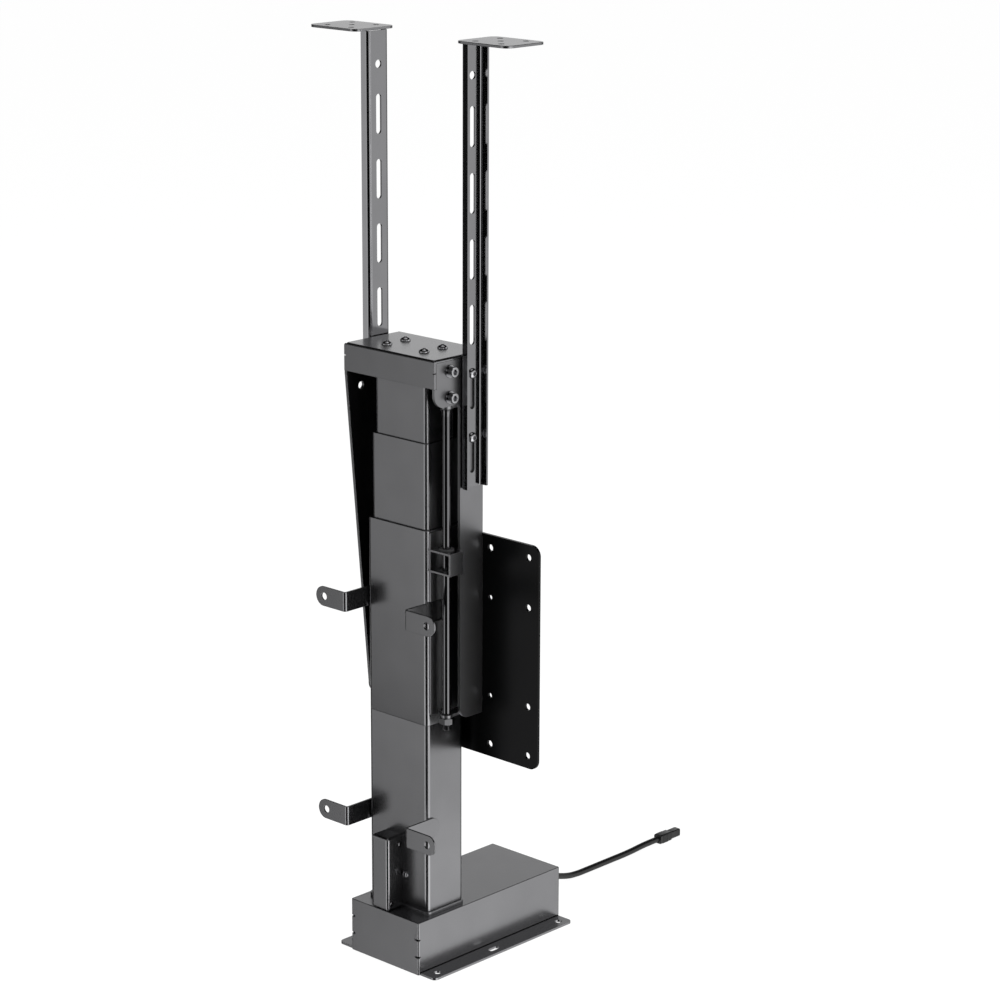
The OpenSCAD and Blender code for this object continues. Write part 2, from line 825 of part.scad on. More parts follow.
// Distance from the column axis to the start of a wall bracket's web
function wall_web_back(upper) = upper > 0 ? 4.4 : 10.3;

// Angled strip from the column's side to the cabinet, with a round fixing tab
module wall_bracket(side, upper) {
    z = upper > 0 ? wall_upper_z : wall_lower_z;
    web = wall_web_back(upper);
    bend = 3;
    x_in = tube_w / 2;
    tab_r = wall_h / 2;
    color(powder) on_side(side) difference() {
        union() {
            translate([x_in, web + tab_r, z - wall_h / 2])
                cube([wall_t, wall_y - bend - web - tab_r, wall_h]);
            translate([0, web + tab_r, z]) along_x(x_in, x_in + wall_t, tab_r);
            translate([x_in + bend, wall_y - wall_t, z - wall_h / 2])
                cube([wall_reach - tab_r - x_in - bend, wall_t, wall_h]);
            translate([wall_reach - tab_r, wall_y, z]) rotate([90, 0, 0])
                cylinder(r = tab_r, h = wall_t);
            translate([x_in + bend, wall_y - bend, z - wall_h / 2]) intersection() {
                difference() {
                    cylinder(r = bend, h = wall_h);
                    translate([0, 0, -1]) cylinder(r = bend - wall_t, h = wall_h + 2);
                }
                translate([-bend, 0, 0]) cube([bend, bend, wall_h]);
            }
        }
        translate([wall_hole_x, wall_y + 1, z]) rotate([90, 0, 0])
            cylinder(r = wall_hole_r, h = wall_t + 2);
    }
}
module wall_bracket_upper_left() { wall_bracket(1, 1); }
module wall_bracket_upper_right() { wall_bracket(-1, 1); }
module wall_bracket_lower_left() { wall_bracket(1, 0); }
module wall_bracket_lower_right() { wall_bracket(-1, 0); }

// Box on the column's front for the remote's receiver, open towards the column
module receiver_box() {
    depth = base_front - receiver_back;
    color(powder) translate([receiver_x - receiver_w / 2, receiver_back, base_h]) difference() {
        cube([receiver_w, depth, receiver_h]);
        translate([receiver_wall, -1, receiver_wall])
            cube([receiver_w - 2 * receiver_wall, depth - receiver_wall + 1,
                  receiver_h - 2 * receiver_wall]);
        translate([-1, -1, -1]) cube([receiver_w + 2, foot_rim + 1, foot_t + 1 + fit]);
        for (k = [0, 1])
            translate([-1, receiver_screw_y[k] - receiver_back, receiver_screw_z[k]])
                along_x(0, receiver_wall + 1.5, 1.6);
    }
}

// Receiver's circuit board, standing on the box's floor
module receiver_board() {
    z0 = base_h + receiver_wall;
    color(board_green) {
        translate([receiver_x - 7, receiver_back + 8, z0]) cube([14, 1.6, receiver_h - 16]);
        translate([receiver_x - 4, receiver_back + 9, z0 + 30]) cube([8, 5, 12]);
    }
}

// Two small screws in the receiver box's side
module receiver_screws() {
    x = receiver_x - receiver_w / 2;
    color(zinc) for (k = [0, 1])
        translate([x, receiver_screw_y[k], base_h + receiver_screw_z[k]])
            rotate([0, -90, 0]) difference() {
                union() {
                    cylinder(r = 2.8, h = 1.4);
                    translate([0, 0, -4]) cylinder(r = 1.5, h = 4.5);
                }
                translate([0, 0, 0.7]) hexagon(2, 2);
            }
}

// Button screw in the column's front face
module column_screw() {
    color(oxide) translate([-10, tube_d / 2, 91]) rotate([-90, 0, 0]) difference() {
        intersection() {
            cylinder(r = 3.6, h = 2);
            translate([0, 0, -2.6]) sphere(r = 4.6);
        }
        translate([0, 0, 1]) hexagon(2.5, 2);
    }
}

// Mid stage of the column
module mid_tube() {
    color(powder) column_tube(mid_w, mid_d, mid_r, mid_bottom, mid_top);
}

// Glide pads inside the mid tube's mouth
module mid_glides() {
    color(nylon) glide_pads(mid_w, mid_d, inner_step - tube_wall, mid_top - 2);
}

// Plate across the mid tube's lower end, with a seat for the spindle's bearing
module mid_end_plate() {
    color(zinc) translate([0, 0, mid_bottom]) difference() {
        linear_extrude(end_plate_h)
            rounded_rect(mid_w - 2 * tube_wall - fit, mid_d - 2 * tube_wall - fit, mid_bore_r);
        translate([0, 0, -1]) cylinder(r = sleeve_bore + 0.5, h = end_plate_h + 2);
        translate([0, 0, end_plate_h - thrust_h]) cylinder(r = thrust_r, h = thrust_h + 1);
    }
}

// Bearing that hangs the spindle in the mid stage
module thrust_bearing() {
    color(zinc) translate([0, 0, mid_bottom + end_plate_h - thrust_h]) difference() {
        cylinder(r = thrust_r, h = thrust_h);
        translate([0, 0, -1]) cylinder(r = screw_out_r + screw_play, h = thrust_h + 2);
    }
}

// Inner spindle: climbs in the fixed nut and slides on the drive shaft's hexagon
module inner_spindle() {
    color(zinc) translate([0, 0, screw_low]) difference() {
        cylinder(r = screw_in_r, h = sleeve_top - screw_low);
        translate([0, 0, -1]) hexagon(drive_af + 0.3, sleeve_top - screw_low - 1);
    }
}

// Outer spindle: a threaded sleeve closed by a cap that the inner spindle hangs from
module outer_spindle() {
    color(zinc) difference() {
        union() {
            translate([0, 0, sleeve_low])
                cylinder(r = screw_out_r, h = sleeve_top + sleeve_cap - sleeve_low);
            translate([0, 0, mid_bottom + end_plate_h + 0.2])
                cylinder(r = spindle_collar_r, h = spindle_collar_t);
        }
        translate([0, 0, sleeve_low - 1]) cylinder(r = sleeve_bore, h = sleeve_top - sleeve_low + 1);
    }
}

// Inner stage of the column
module inner_tube() {
    color(powder) column_tube(inner_w, inner_d, inner_r, inner_bottom, head_under);
}

// Nut in the inner tube's lower end, which the outer spindle lifts
module lift_nut() {
    color(nylon) translate([0, 0, inner_bottom]) difference() {
        linear_extrude(lift_nut_h)
            rounded_rect(inner_w - 2 * tube_wall - fit, inner_d - 2 * tube_wall - fit, inner_bore_r);
        translate([0, 0, -1]) cylinder(r = screw_out_r + screw_play, h = lift_nut_h + 2);
    }
}

// Tapped block in the inner tube's top, for the head screws
module inner_cap() {
    color(zinc) translate([0, 0, head_under - cap_h]) difference() {
        linear_extrude(cap_h)
            rounded_rect(inner_w - 2 * tube_wall - fit, inner_d - 2 * tube_wall - fit, inner_bore_r);
        for (x = [-1, 1], y = [-1, 1])
            translate([x * head_screw_x, y * head_screw_y, -1])
                cylinder(r = m6_r + thread_fit, h = cap_h + 2);
    }
}

// Waste outside a round corner, on the corner's +X +Y side
module corner_waste(r) {
    difference() {
        square(r + 1);
        circle(r = r);
    }
}

// Outline of the head seen from the side: top plate and skirt with the round fold between them
module head_fold() {
    difference() {
        translate([-head_back, skirt_z]) square([head_front + head_back, skirt_h]);
        translate([-head_back - 1, skirt_z - 1])
            square([head_front + head_back - arm_t + 1, skirt_h - arm_t + 1]);
        translate([head_front - fold_r, head_top - fold_r]) corner_waste(fold_r);
    }
}

// Outline of the head seen from the front: its long edges are rounded over
module head_arch() {
    difference() {
        translate([-arm_out, skirt_z - 1]) square([2 * arm_out, skirt_h + 1]);
        for (x = [0, 1]) mirror([x, 0])
            translate([arm_out - fold_r, head_top - fold_r]) corner_waste(fold_r);
    }
}

// Folded head: a top plate over the arms, a front skirt and two side ears
module head_bracket() {
    color(powder) difference() {
        union() {
            intersection() {
                translate([-arm_out, 0, 0]) rotate([90, 0, 90]) linear_extrude(2 * arm_out) head_fold();
                translate([0, head_front + 1, 0]) rotate([90, 0, 0])
                    linear_extrude(head_front + head_back + 2) head_arch();
            }
            for (x = [-1, 1])
                on_side(x) translate([ear_in, -head_back, ear_bottom])
                    cube([arm_t, head_back + ear_front, ear_h - arm_t + eps]);
        }
        for (x = [-1, 1], y = [-1, 1])
            translate([x * head_screw_x, y * head_screw_y, head_under - 1])
                cylinder(r = m6_hole_r, h = arm_t + 2);
        for (x = [-1, 1]) on_side(x) {
            translate([0, arm_bolt_y, arm_bolt_z]) along_x(ear_in - 1, ear_out + 1, m6_hole_r);
            translate([0, -upright_y, upright_bolt_z[0]]) along_x(ear_in - 1, ear_out + 1, m6_hole_r);
            translate([arm_out - relief_in, head_front - relief_back, head_under - 1])
                cylinder(r = relief_r, h = arm_t + 2);
            translate([arm_out - mark_w, head_front - arm_t - 1, mark_z])
                cube([mark_w + 1, arm_t + 2, mark_h]);
        }
    }
}

// Button screws that hold the head on the inner tube's block
module head_screws() {
    color(oxide) for (x = [-1, 1], y = [-1, 1])
        translate([x * head_screw_x, y * head_screw_y, head_top])
            button_screw(m6_r, m6_head_r, m6_head_h, arm_t + cap_h - 1);
}

// What both arms leave free: the upper head bolt, the upright bolts and the head's skirt
module arm_cuts() {
    translate([arm_bolt_y, arm_bolt_z]) circle(r = m6_hole_r);
    translate([skirt_back, skirt_z - fit]) square([arm_t + 1, skirt_h]);
    for (z = upright_bolt_z) translate([-upright_y, z]) circle(r = m6_hole_r);
}

// Flat tab for one end of the guide rod, standing out from the right arm
module rod_tab(z) {
    translate([0, 0, z]) linear_extrude(tab_t) difference() {
        union() {
            translate([tab_in, -tab_back]) square([ear_out - tab_in, rod_y + tab_back]);
            translate([rod_x, rod_y]) circle(r = rod_x - tab_in);
            translate([rod_x, arm_front + 0.2]) square([4, rod_y - arm_front]);
        }
        translate([rod_x, rod_y]) circle(r = rod_r + fit);
    }
}

// Right arm: a deep ear at the head, a straight plate down to the screen plate
module arm_right() {
    ear_y = arm_head_front - ear_r;
    color(powder) on_side(-1) {
        yz_plate(ear_out, arm_t) difference() {
            union() {
                translate([-arm_head_back, neck_z])
                    square([arm_head_back + arm_front, head_under - neck_z]);
                translate([0, arm_step_z + ear_r])
                    square([arm_head_front, head_under - arm_step_z - ear_r]);
                translate([0, arm_step_z]) square([ear_y, ear_r + 1]);
                translate([ear_y, arm_step_z + ear_r]) circle(r = ear_r);
                translate([-plate_y, arm_bottom + arm_r])
                    square([plate_y + arm_front, head_under - arm_bottom - arm_r]);
                translate([-plate_y, arm_bottom]) square([plate_y + arm_front - arm_r, arm_r + 1]);
                translate([arm_front - arm_r, arm_bottom + arm_r]) circle(r = arm_r);
                difference() {
                    translate([0, arm_step_z - 5]) square([arm_front + 5, 6]);
                    translate([arm_front + 5, arm_step_z - 5]) circle(r = 5);
                }
            }
            arm_cuts();
            translate([arm_bolt_y, arm_bolt_z - arm_bolt_pitch]) circle(r = m6_hole_r);
        }
        rod_tab(tab_top_z);
        rod_tab(tab_low_z);
    }
}

// Left arm: its front edge slopes from the head down to the screen plate
module arm_left() {
    color(powder) yz_plate(ear_out, arm_t) difference() {
        union() {
            polygon([[-arm_head_back, head_under], [-arm_head_back, neck_z],
                     [-plate_y, neck_z], [-plate_y, arm_bottom],
                     [arm_toe_y - arm_r, arm_bottom], [arm_toe_y - arm_r, arm_toe_z],
                     [arm_toe_y, arm_toe_z], [arm_shoulder_y, arm_shoulder_z],
                     [arm_shoulder_y, head_under]]);
            translate([arm_toe_y - arm_r, arm_bottom + arm_r]) circle(r = arm_r);
            translate([arm_toe_y - arm_r, arm_bottom + arm_r])
                square([arm_r, max(arm_toe_z - arm_bottom - arm_r, 0) + eps]);
        }
        arm_cuts();
        translate([spare_hole_y, spare_hole_z]) circle(r = spare_hole_r);
    }
}

// Side and row of each arm bolt: two on the right arm, one on the left
function arm_bolt_places() = [[-1, 0], [-1, 1], [1, 0]];

// Socket bolts that hold the arms to the head
module arm_bolts() {
    color(oxide) for (p = arm_bolt_places())
        on_side(p[0]) translate([arm_out + washer_t, arm_bolt_y, arm_bolt_z - p[1] * arm_bolt_pitch])
            rotate([0, 90, 0])
                socket_bolt(m6_r, m6_socket_r, m6_socket_h,
                            washer_t + (2 - p[1]) * arm_t + m6_nut_h - 0.5);
}

// Washers under the socket bolts
module arm_washers() {
    color(zinc) for (p = arm_bolt_places())
        on_side(p[0]) translate([0, arm_bolt_y, arm_bolt_z - p[1] * arm_bolt_pitch]) difference() {
            along_x(arm_out, arm_out + washer_t, washer_r);
            along_x(arm_out - 1, arm_out + washer_t + 1, m6_r + thread_fit);
        }
}

// Weld nuts of the socket bolts: behind the ears, and behind the right arm under its ear
module weld_nuts() {
    color(zinc) for (p = arm_bolt_places())
        on_side(p[0]) translate([(p[1] == 0 ? ear_in : ear_out) - m6_nut_h, arm_bolt_y,
                                 arm_bolt_z - p[1] * arm_bolt_pitch])
            rotate([0, 90, 0]) hex_nut(m6_af, m6_nut_h, m6_r + thread_fit);
}

// Guide rod, welded into the right arm's upper tab and bolted to its lower one
module guide_rod() {
    color(zinc) on_side(-1) translate([rod_x, rod_y, rod_bottom])
        cylinder(r = rod_r, h = rod_top - rod_bottom);
}

// Nut of the guide rod, below the lower tab
module rod_nut() {
    color(zinc) on_side(-1) translate([rod_x, rod_y, tab_low_z - m8_nut_h])
        hex_nut(m8_af, m8_nut_h, rod_r + thread_fit);
}

// Plate between the arms that closes the back from the screen plate up to the head
module back_plate() {
    low = plate_z + plate_h - back_lap;
    color(powder) xz_plate(-plate_y + back_t, back_t) {
        translate([-ear_out, low]) square([2 * ear_out, ear_bottom - 1 - low]);
        translate([-ear_in, ear_bottom - 1 - eps]) square([2 * ear_in, head_under - ear_bottom + 1 + eps]);
    }
}

// Screen plate with its sixteen holes
module vesa_plate() {
    z_mid = plate_z + plate_h / 2;
    outer = vesa_outer / 2;
    inner = vesa_inner / 2;
    color(powder) xz_plate(-plate_y, plate_t) translate([plate_x, z_mid]) difference() {
        rounded_rect(plate_w, plate_h, plate_r);
        for (x = [-outer, -inner, inner, outer], z = [-outer, -inner, inner, outer])
            translate([x, z])
                circle(r = abs(x) == inner && abs(z) == inner ? vesa_inner_r : vesa_outer_r);
    }
}

// Bolts that clamp the uprights to the arms through their slots
module upright_bolts() {
    x_head = upright_x + upright_t + thread_fit;
    color(oxide) for (x = [-1, 1], k = [0, 1]) on_side(x)
        translate([x_head, -upright_y, upright_bolt_z[k]]) rotate([0, 90, 0])
            button_screw(m6_r, m6_head_r, m6_head_h,
                         x_head - (k == 0 ? ear_in : ear_out) + m6_nut_h - 0.5);
}

// Nuts of the upright bolts, inside the arms
module upright_nuts() {
    color(zinc) for (x = [-1, 1], k = [0, 1]) on_side(x)
        translate([(k == 0 ? ear_in : ear_out) - m6_nut_h, -upright_y, upright_bolt_z[k]])
            rotate([0, 90, 0]) hex_nut(m6_af, m6_nut_h, m6_r + thread_fit);
}

// Outline of depth d that goes from x = 0 out to w, with its two corners at x = 0 rounded
module bent_outline(w, d, r) {
    translate([r, -d / 2]) square([w - r, d]);
    translate([0, -d / 2 + r]) square([r + eps, d - 2 * r]);
    for (y = [-1, 1]) translate([r, y * (d / 2 - r)]) circle(r = r);
}

// Channel with its row of slots; the web lies along the arm
module upright(side) {
    color(powder) on_side(side) translate([upright_x, -upright_y, upright_bottom]) difference() {
        linear_extrude(upright_len) difference() {
            bent_outline(upright_leg, upright_d, upright_r);
            translate([upright_t, 0])
                bent_outline(upright_leg, upright_d - 2 * upright_t, upright_r - upright_t);
        }
        for (k = [0 : slot_count - 1])
            translate([-1, 0, slot_top - upright_bottom - k * slot_pitch - slot_len / 2])
                rotate([90, 0, 90]) linear_extrude(upright_t + 2) slot_shape(slot_w, slot_len);
        translate([0, 0, upright_len - upright_hole_drop]) along_x(-1, upright_t + 1, 4);
    }
}
module upright_left() { upright(1); }
module upright_right() { upright(-1); }

// Plate on the upright's top, screwed under the cabinet lid
module lid_plate(side) {
    h = lid_hole_pitch / 2;
    color(powder) on_side(side)
        translate([lid_x + lid_w / 2, lid_y, upright_top]) linear_extrude(lid_t) difference() {
            rounded_rect(lid_w, lid_d, lid_r);
            for (p = [[-h, -h], [h, -h], [-h, h], [h, h], [0, 0]])
                translate(p) circle(r = lid_hole_r);
        }
}
module lid_plate_left() { lid_plate(1); }
module lid_plate_right() { lid_plate(-1); }

base_plate();
base_cover();
base_screws();
control_board();
lead_gland();
power_lead();
lead_plug();
motor();
motor_worm();
gearbox();
gearbox_bearings();
worm_wheel();
drive_shaft();
support_tube();
base_nut();
foot_plate();
foot_screws();
foot_nuts();
pedestal_tube();
outer_tube();
outer_glides();
guide_plate();
guide_bracket();
guide_bushes();
wall_bracket_upper_left();
wall_bracket_upper_right();
wall_bracket_lower_left();
wall_bracket_lower_right();
receiver_box();
receiver_board();
receiver_screws();
column_screw();
mid_tube();
mid_glides();
mid_end_plate();
thrust_bearing();
inner_spindle();
outer_spindle();
inner_tube();
lift_nut();
inner_cap();
head_bracket();
head_screws();
arm_right();
arm_left();
arm_bolts();
arm_washers();
weld_nuts();
guide_rod();
rod_nut();
back_plate();
vesa_plate();
upright_bolts();
upright_nuts();
upright_left();
upright_right();
lid_plate_left();
lid_plate_right();
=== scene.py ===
# %% [markdown]
# A television lift is mostly folded and welded sheet steel under one black powder
# coat. Its shapes are plain, so the looks depend on three things: edges that
# are rounded as a folder and a grinder leave them, a coat that mirrors the studio
# softly, and fasteners that carry their own small forms. The frame comes from the
# CAD model; this script dresses it and never moves it.
# %% Load the frame
import json
import math

import bmesh
import bpy
import numpy as np
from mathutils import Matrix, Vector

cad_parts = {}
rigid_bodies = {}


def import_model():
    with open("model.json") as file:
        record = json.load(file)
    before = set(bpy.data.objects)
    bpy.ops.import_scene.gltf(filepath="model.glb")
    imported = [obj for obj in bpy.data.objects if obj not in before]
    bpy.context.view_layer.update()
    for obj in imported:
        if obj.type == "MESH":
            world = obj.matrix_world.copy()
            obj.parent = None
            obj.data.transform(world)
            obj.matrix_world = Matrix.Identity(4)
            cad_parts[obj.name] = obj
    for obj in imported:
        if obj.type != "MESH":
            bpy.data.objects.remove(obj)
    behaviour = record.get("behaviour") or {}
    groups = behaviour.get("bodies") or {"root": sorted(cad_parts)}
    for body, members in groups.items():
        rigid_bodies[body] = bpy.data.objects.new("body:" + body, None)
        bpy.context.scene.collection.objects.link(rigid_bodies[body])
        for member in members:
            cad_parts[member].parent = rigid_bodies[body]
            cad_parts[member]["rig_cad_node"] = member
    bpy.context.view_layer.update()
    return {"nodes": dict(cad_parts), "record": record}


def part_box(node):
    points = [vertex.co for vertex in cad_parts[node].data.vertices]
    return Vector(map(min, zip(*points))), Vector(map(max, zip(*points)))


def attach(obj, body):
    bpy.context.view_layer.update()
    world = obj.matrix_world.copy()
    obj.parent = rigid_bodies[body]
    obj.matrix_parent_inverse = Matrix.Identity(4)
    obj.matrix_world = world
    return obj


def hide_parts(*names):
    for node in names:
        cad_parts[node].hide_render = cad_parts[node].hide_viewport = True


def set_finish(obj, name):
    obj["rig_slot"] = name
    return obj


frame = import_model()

MM = 0.001
nodes = frame["nodes"]
body_of = {n: b for b, names in frame["record"]["behaviour"]["bodies"].items() for n in names}
slot_of = {s["node"]: s["material_slot"] for s in frame["record"]["subparts"]}

# %% [markdown]
# The camera stands where the photographer's did. A long lens a little under three
# metres away, looking down by fifteen degrees, was worked out from the screen
# plate's hole grid, whose outer holes are 200 mm apart. Its three axes are written
# from the angles, so that the small roll is kept too.
# %% Camera
LENS_MM = 108.28
SENSOR_MM = 36.0
EYE = np.array([-1.9871, 1.9926, 1.2279])
AZIMUTH = math.radians(223.2488)
ELEVATION = math.radians(15.0825)
ROLL = math.radians(0.2344)


def camera_axes(azimuth, elevation, roll):
    """Right, up and backward axes of a camera that looks from azimuth and elevation, turned by roll."""
    back = np.array([math.sin(azimuth) * math.cos(elevation),
                     -math.cos(azimuth) * math.cos(elevation), math.sin(elevation)])
    right = np.array([math.cos(azimuth), math.sin(azimuth), 0.0])
    up = np.cross(back, right)
    up *= np.sign(up[2])
    turned = right * math.cos(roll) + up * math.sin(roll)
    return turned, -right * math.sin(roll) + up * math.cos(roll), back


camera_data = bpy.data.cameras.new("camera")
camera_data.lens = LENS_MM
camera_data.sensor_width = SENSOR_MM
camera_data.clip_end = 100
camera = bpy.data.objects.new("camera", camera_data)
bpy.context.scene.collection.objects.link(camera)
placed = np.eye(4)
placed[:3, 0], placed[:3, 1], placed[:3, 2] = camera_axes(AZIMUTH, ELEVATION, ROLL)
placed[:3, 3] = EYE
camera.matrix_world = placed.T.tolist()
bpy.context.scene.camera = camera
print("camera at", EYE.round(3), "lens", LENS_MM)

# %% [markdown]
# Every new piece is a sheet of quads over two parameters. One function turns such a
# grid into a mesh, welds the rings that shrink to a point, and makes the faces
# point outwards. Pieces join their CAD body here too, so nothing is left behind
# when a joint moves.
# %% Meshes from grids


def grid_faces(rows, cols, wrap_rows=False, wrap_cols=False):
    """Quads of a grid whose point (i, j) has number i * cols + j; a wrapped side joins last to first."""
    i = np.arange(rows if wrap_rows else rows - 1)
    j = np.arange(cols if wrap_cols else cols - 1)
    i, j = np.meshgrid(i, j, indexing="ij")
    down, over = (i + 1) % rows, (j + 1) % cols
    return np.stack([i * cols + j, down * cols + j, down * cols + over, i * cols + over], -1).reshape(-1, 4)


def mesh_piece(name, points, faces, smooth_deg=35):
    """An object from points in metres and quads, with doubles merged and its faces pointing outwards."""
    mesh = bpy.data.meshes.new(name)
    mesh.from_pydata(points.reshape(-1, 3).tolist(), [], faces.tolist())
    work = bmesh.new()
    work.from_mesh(mesh)
    bmesh.ops.remove_doubles(work, verts=work.verts, dist=2e-6)
    bmesh.ops.recalc_face_normals(work, faces=work.faces)
    work.to_mesh(mesh)
    work.free()
    mesh.polygons.foreach_set("use_smooth", np.ones(len(mesh.polygons), bool))
    mesh.set_sharp_from_angle(angle=math.radians(smooth_deg))
    piece = bpy.data.objects.new(name, mesh)
    bpy.context.scene.collection.objects.link(piece)
    return piece


def joined(name, parts, smooth_deg=35):
    """One object from several (points, faces) pairs."""
    starts = np.cumsum([0] + [p.reshape(-1, 3).shape[0] for p, _ in parts[:-1]])
    points = np.concatenate([p.reshape(-1, 3) for p, _ in parts])
    faces = np.concatenate([f + s for (_, f), s in zip(parts, starts)])
    return mesh_piece(name, points, faces, smooth_deg)


def stands_for(piece, *cad_nodes):
    """The piece rides on its nodes' body, replaces them and takes their material slot."""
    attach(piece, body_of[cad_nodes[0]])
    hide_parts(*cad_nodes)
    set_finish(piece, slot_of[cad_nodes[0]])
    return piece


print("grid tools ready")

# %% [markdown]
# The power lead is shown from end to end, so its length is the real one. It
# leaves its gland level, comes down under its own weight within a hand's breadth
# and lies on the floor until its plug lifts the last few centimetres. The points
# repeat the CAD route; a smooth curve runs through them, and a ring is carried
# along it.
# %% Power lead
LEAD_D = 6.5 * MM
LEAD_SIDES = 20
LEAD_STEPS = 6
LEAD_ROUTE = np.array([
    [12, -175, 19], [12, -188, 19], [12, -201, 17.6], [12, -215, 13.4], [12, -229, 8.4],
    [12, -243, 4.9], [12, -257, 3.5], [12, -271, 3.35], [12, -286, 3.35], [12, -301, 3.35],
    [12, -316, 3.35], [12, -331, 3.35], [12, -346, 3.8], [12, -361, 4.7], [12, -374, 5],
    [12, -388, 5]]) * MM


def smooth_route(points, steps):
    """Catmull-Rom curve: between two points it leaves each with half the step between its neighbours."""
    p = np.vstack([2 * points[0] - points[1], points, 2 * points[-1] - points[-2]])
    t = np.linspace(0, 1, steps, endpoint=False)[None, :, None]
    a, b, c, d = (p[k:len(p) - 3 + k, None, :] for k in range(4))
    curve = 0.5 * (2 * b + (c - a) * t + (2 * a - 5 * b + 4 * c - d) * t**2
                   + (3 * b - a - 3 * c + d) * t**3)
    return np.vstack([curve.reshape(-1, 3), points[-1]])


def tube_along(path, radius, sides):
    """Ring of the given radius square to the path at each point: centre + r (cos a * side + sin a * up)."""
    ahead = np.gradient(path, axis=0)
    ahead /= np.linalg.norm(ahead, axis=1, keepdims=True)
    side = np.cross(ahead, [0, 0, 1.0])
    side /= np.linalg.norm(side, axis=1, keepdims=True)
    up = np.cross(side, ahead)
    a = np.linspace(0, 2 * math.pi, sides, endpoint=False)
    radius = np.broadcast_to(radius, len(path))[:, None, None]
    return path[:, None, :] + radius * (np.cos(a)[None, :, None] * side[:, None, :]
                                        + np.sin(a)[None, :, None] * up[:, None, :])


lead_path = smooth_route(LEAD_ROUTE, LEAD_STEPS)
lead_rings = tube_along(lead_path, LEAD_D / 2, LEAD_SIDES)
lead_ends = np.repeat(lead_path[[0, -1], None, :], LEAD_SIDES, 1)
lead_grid = np.concatenate([lead_ends[:1], lead_rings, lead_ends[1:]])
lead = mesh_piece("power_lead_tube", lead_grid, grid_faces(len(lead_grid), LEAD_SIDES, wrap_cols=True))
stands_for(lead, "power_lead")

# %% [markdown]
# Screws, nuts, washers, the gland and the rod are turned parts, and each is a radius
# written over height and angle. A hexagon is such a radius too: the distance to
# a flat side divided by the cosine of the angle from its middle. Rings that go
# from a hexagon to a circle make a socket in a round head.
# %% Turned and hexagonal parts
SIDES = 48
ANGLES = np.linspace(0, 2 * math.pi, SIDES, endpoint=False)


def hexagon_radius(across_flats, angles=ANGLES):
    """Distance from the centre to a hexagon's side: half its flats over the cosine from a side's middle."""
    from_middle = (angles + math.pi / 6) % (math.pi / 3) - math.pi / 6
    return across_flats / 2 / np.cos(from_middle)


def ring_stack(profile):
    """Rings on +Z from (radius or radii over ANGLES, height) pairs, as a grid in metres."""
    radii = np.stack([np.broadcast_to(r, SIDES) for r, _ in profile])
    heights = np.array([h for _, h in profile])[:, None] * np.ones(SIDES)
    return np.stack([radii * np.cos(ANGLES), radii * np.sin(ANGLES), heights], -1) * MM


def ring_part(profile, closed=False):
    """(points, faces) of a ring stack; closed joins the last ring to the first, as on a nut."""
    grid = ring_stack(profile)
    return grid, grid_faces(len(grid), SIDES, wrap_rows=closed, wrap_cols=True)


def placed_part(part, origin, axis):
    """A part turned so that its +Z lies along axis, which is parallel to X, Y or Z, then moved to origin."""
    grid, faces = part
    axis = np.asarray(axis, float)
    helper = np.array([0.0, 1.0, 0.0]) if abs(axis[2]) < 0.5 else np.array([1.0, 0.0, 0.0])
    if abs(axis[1]) > 0.5:
        helper = np.array([0.0, 0.0, 1.0])
    first = np.cross(helper, axis)
    turn = np.stack([first, np.cross(axis, first), axis])
    return grid @ turn + np.asarray(origin) * MM, faces


def button_head(head_r, head_h, shank_r, length):
    """Domed head over its shank, with a hexagon socket whose rim is lightly broken."""
    socket = hexagon_radius(head_r * 0.76)
    dome = [(head_r * math.cos(t), head_h * (0.12 + 0.88 * math.sin(t)))
            for t in np.radians([68, 60, 50, 38, 25, 12, 0])]
    top = dome[0][1]
    return ring_part([(0, head_h * 0.4), (socket * 0.96, head_h * 0.42), (socket, head_h * 0.5),
                      (socket, top - 0.25), (socket + 0.2, top + 0.02)] + dome
                     + [(head_r, 0.12), (head_r - 0.12, 0), (shank_r, 0), (shank_r, -length + 0.5),
                        (shank_r - 0.5, -length), (0, -length)])


def socket_head(head_r, head_h, shank_r, length):
    """Straight head with a fine knurl and chamfered ends, over its shank."""
    socket = hexagon_radius(head_r * 0.92)
    knurl = head_r - 0.07 + 0.07 * np.cos(24 * ANGLES)
    return ring_part([(0, head_h * 0.45), (socket * 0.96, head_h * 0.47), (socket, head_h * 0.55),
                      (socket, head_h - 0.3), (socket + 0.35, head_h), (head_r - 1.0, head_h),
                      (head_r - 0.35, head_h - 0.15), (head_r - 0.05, head_h - 0.6),
                      (knurl, head_h - 1.1), (knurl, 1.0), (head_r - 0.05, 0.4), (head_r - 0.4, 0),
                      (shank_r, 0), (shank_r, -length + 0.7), (shank_r - 0.7, -length), (0, -length)])


def nut(across_flats, height, bore_r):
    """Hexagon nut: the hexagon's radius, cut near both faces by a cone that leaves a round chamfer."""
    flats = hexagon_radius(across_flats)
    round_r = across_flats / 2 * 0.97
    slope = 0.55
    levels = np.array([0.0, 0.15, 0.35, 0.6, 0.9, 1.3])
    rise = [(np.minimum(flats, round_r + h / slope), h) for h in levels]
    fall = [(np.minimum(flats, round_r + h / slope), height - h) for h in levels[::-1]]
    return ring_part([(bore_r + 0.4, 0)] + rise + fall + [(bore_r + 0.4, height), (bore_r, height - 0.4),
                                                          (bore_r, 0.4)], closed=True)


def washer(bore_r, outer_r, thick):
    """Flat ring with its stamped edges rounded."""
    e = 0.25
    return ring_part([(bore_r, e), (bore_r + e, 0), (outer_r - e, 0), (outer_r, e), (outer_r, thick - e),
                      (outer_r - e, thick), (bore_r + e, thick), (bore_r, thick - e)], closed=True)


print("turned parts ready")

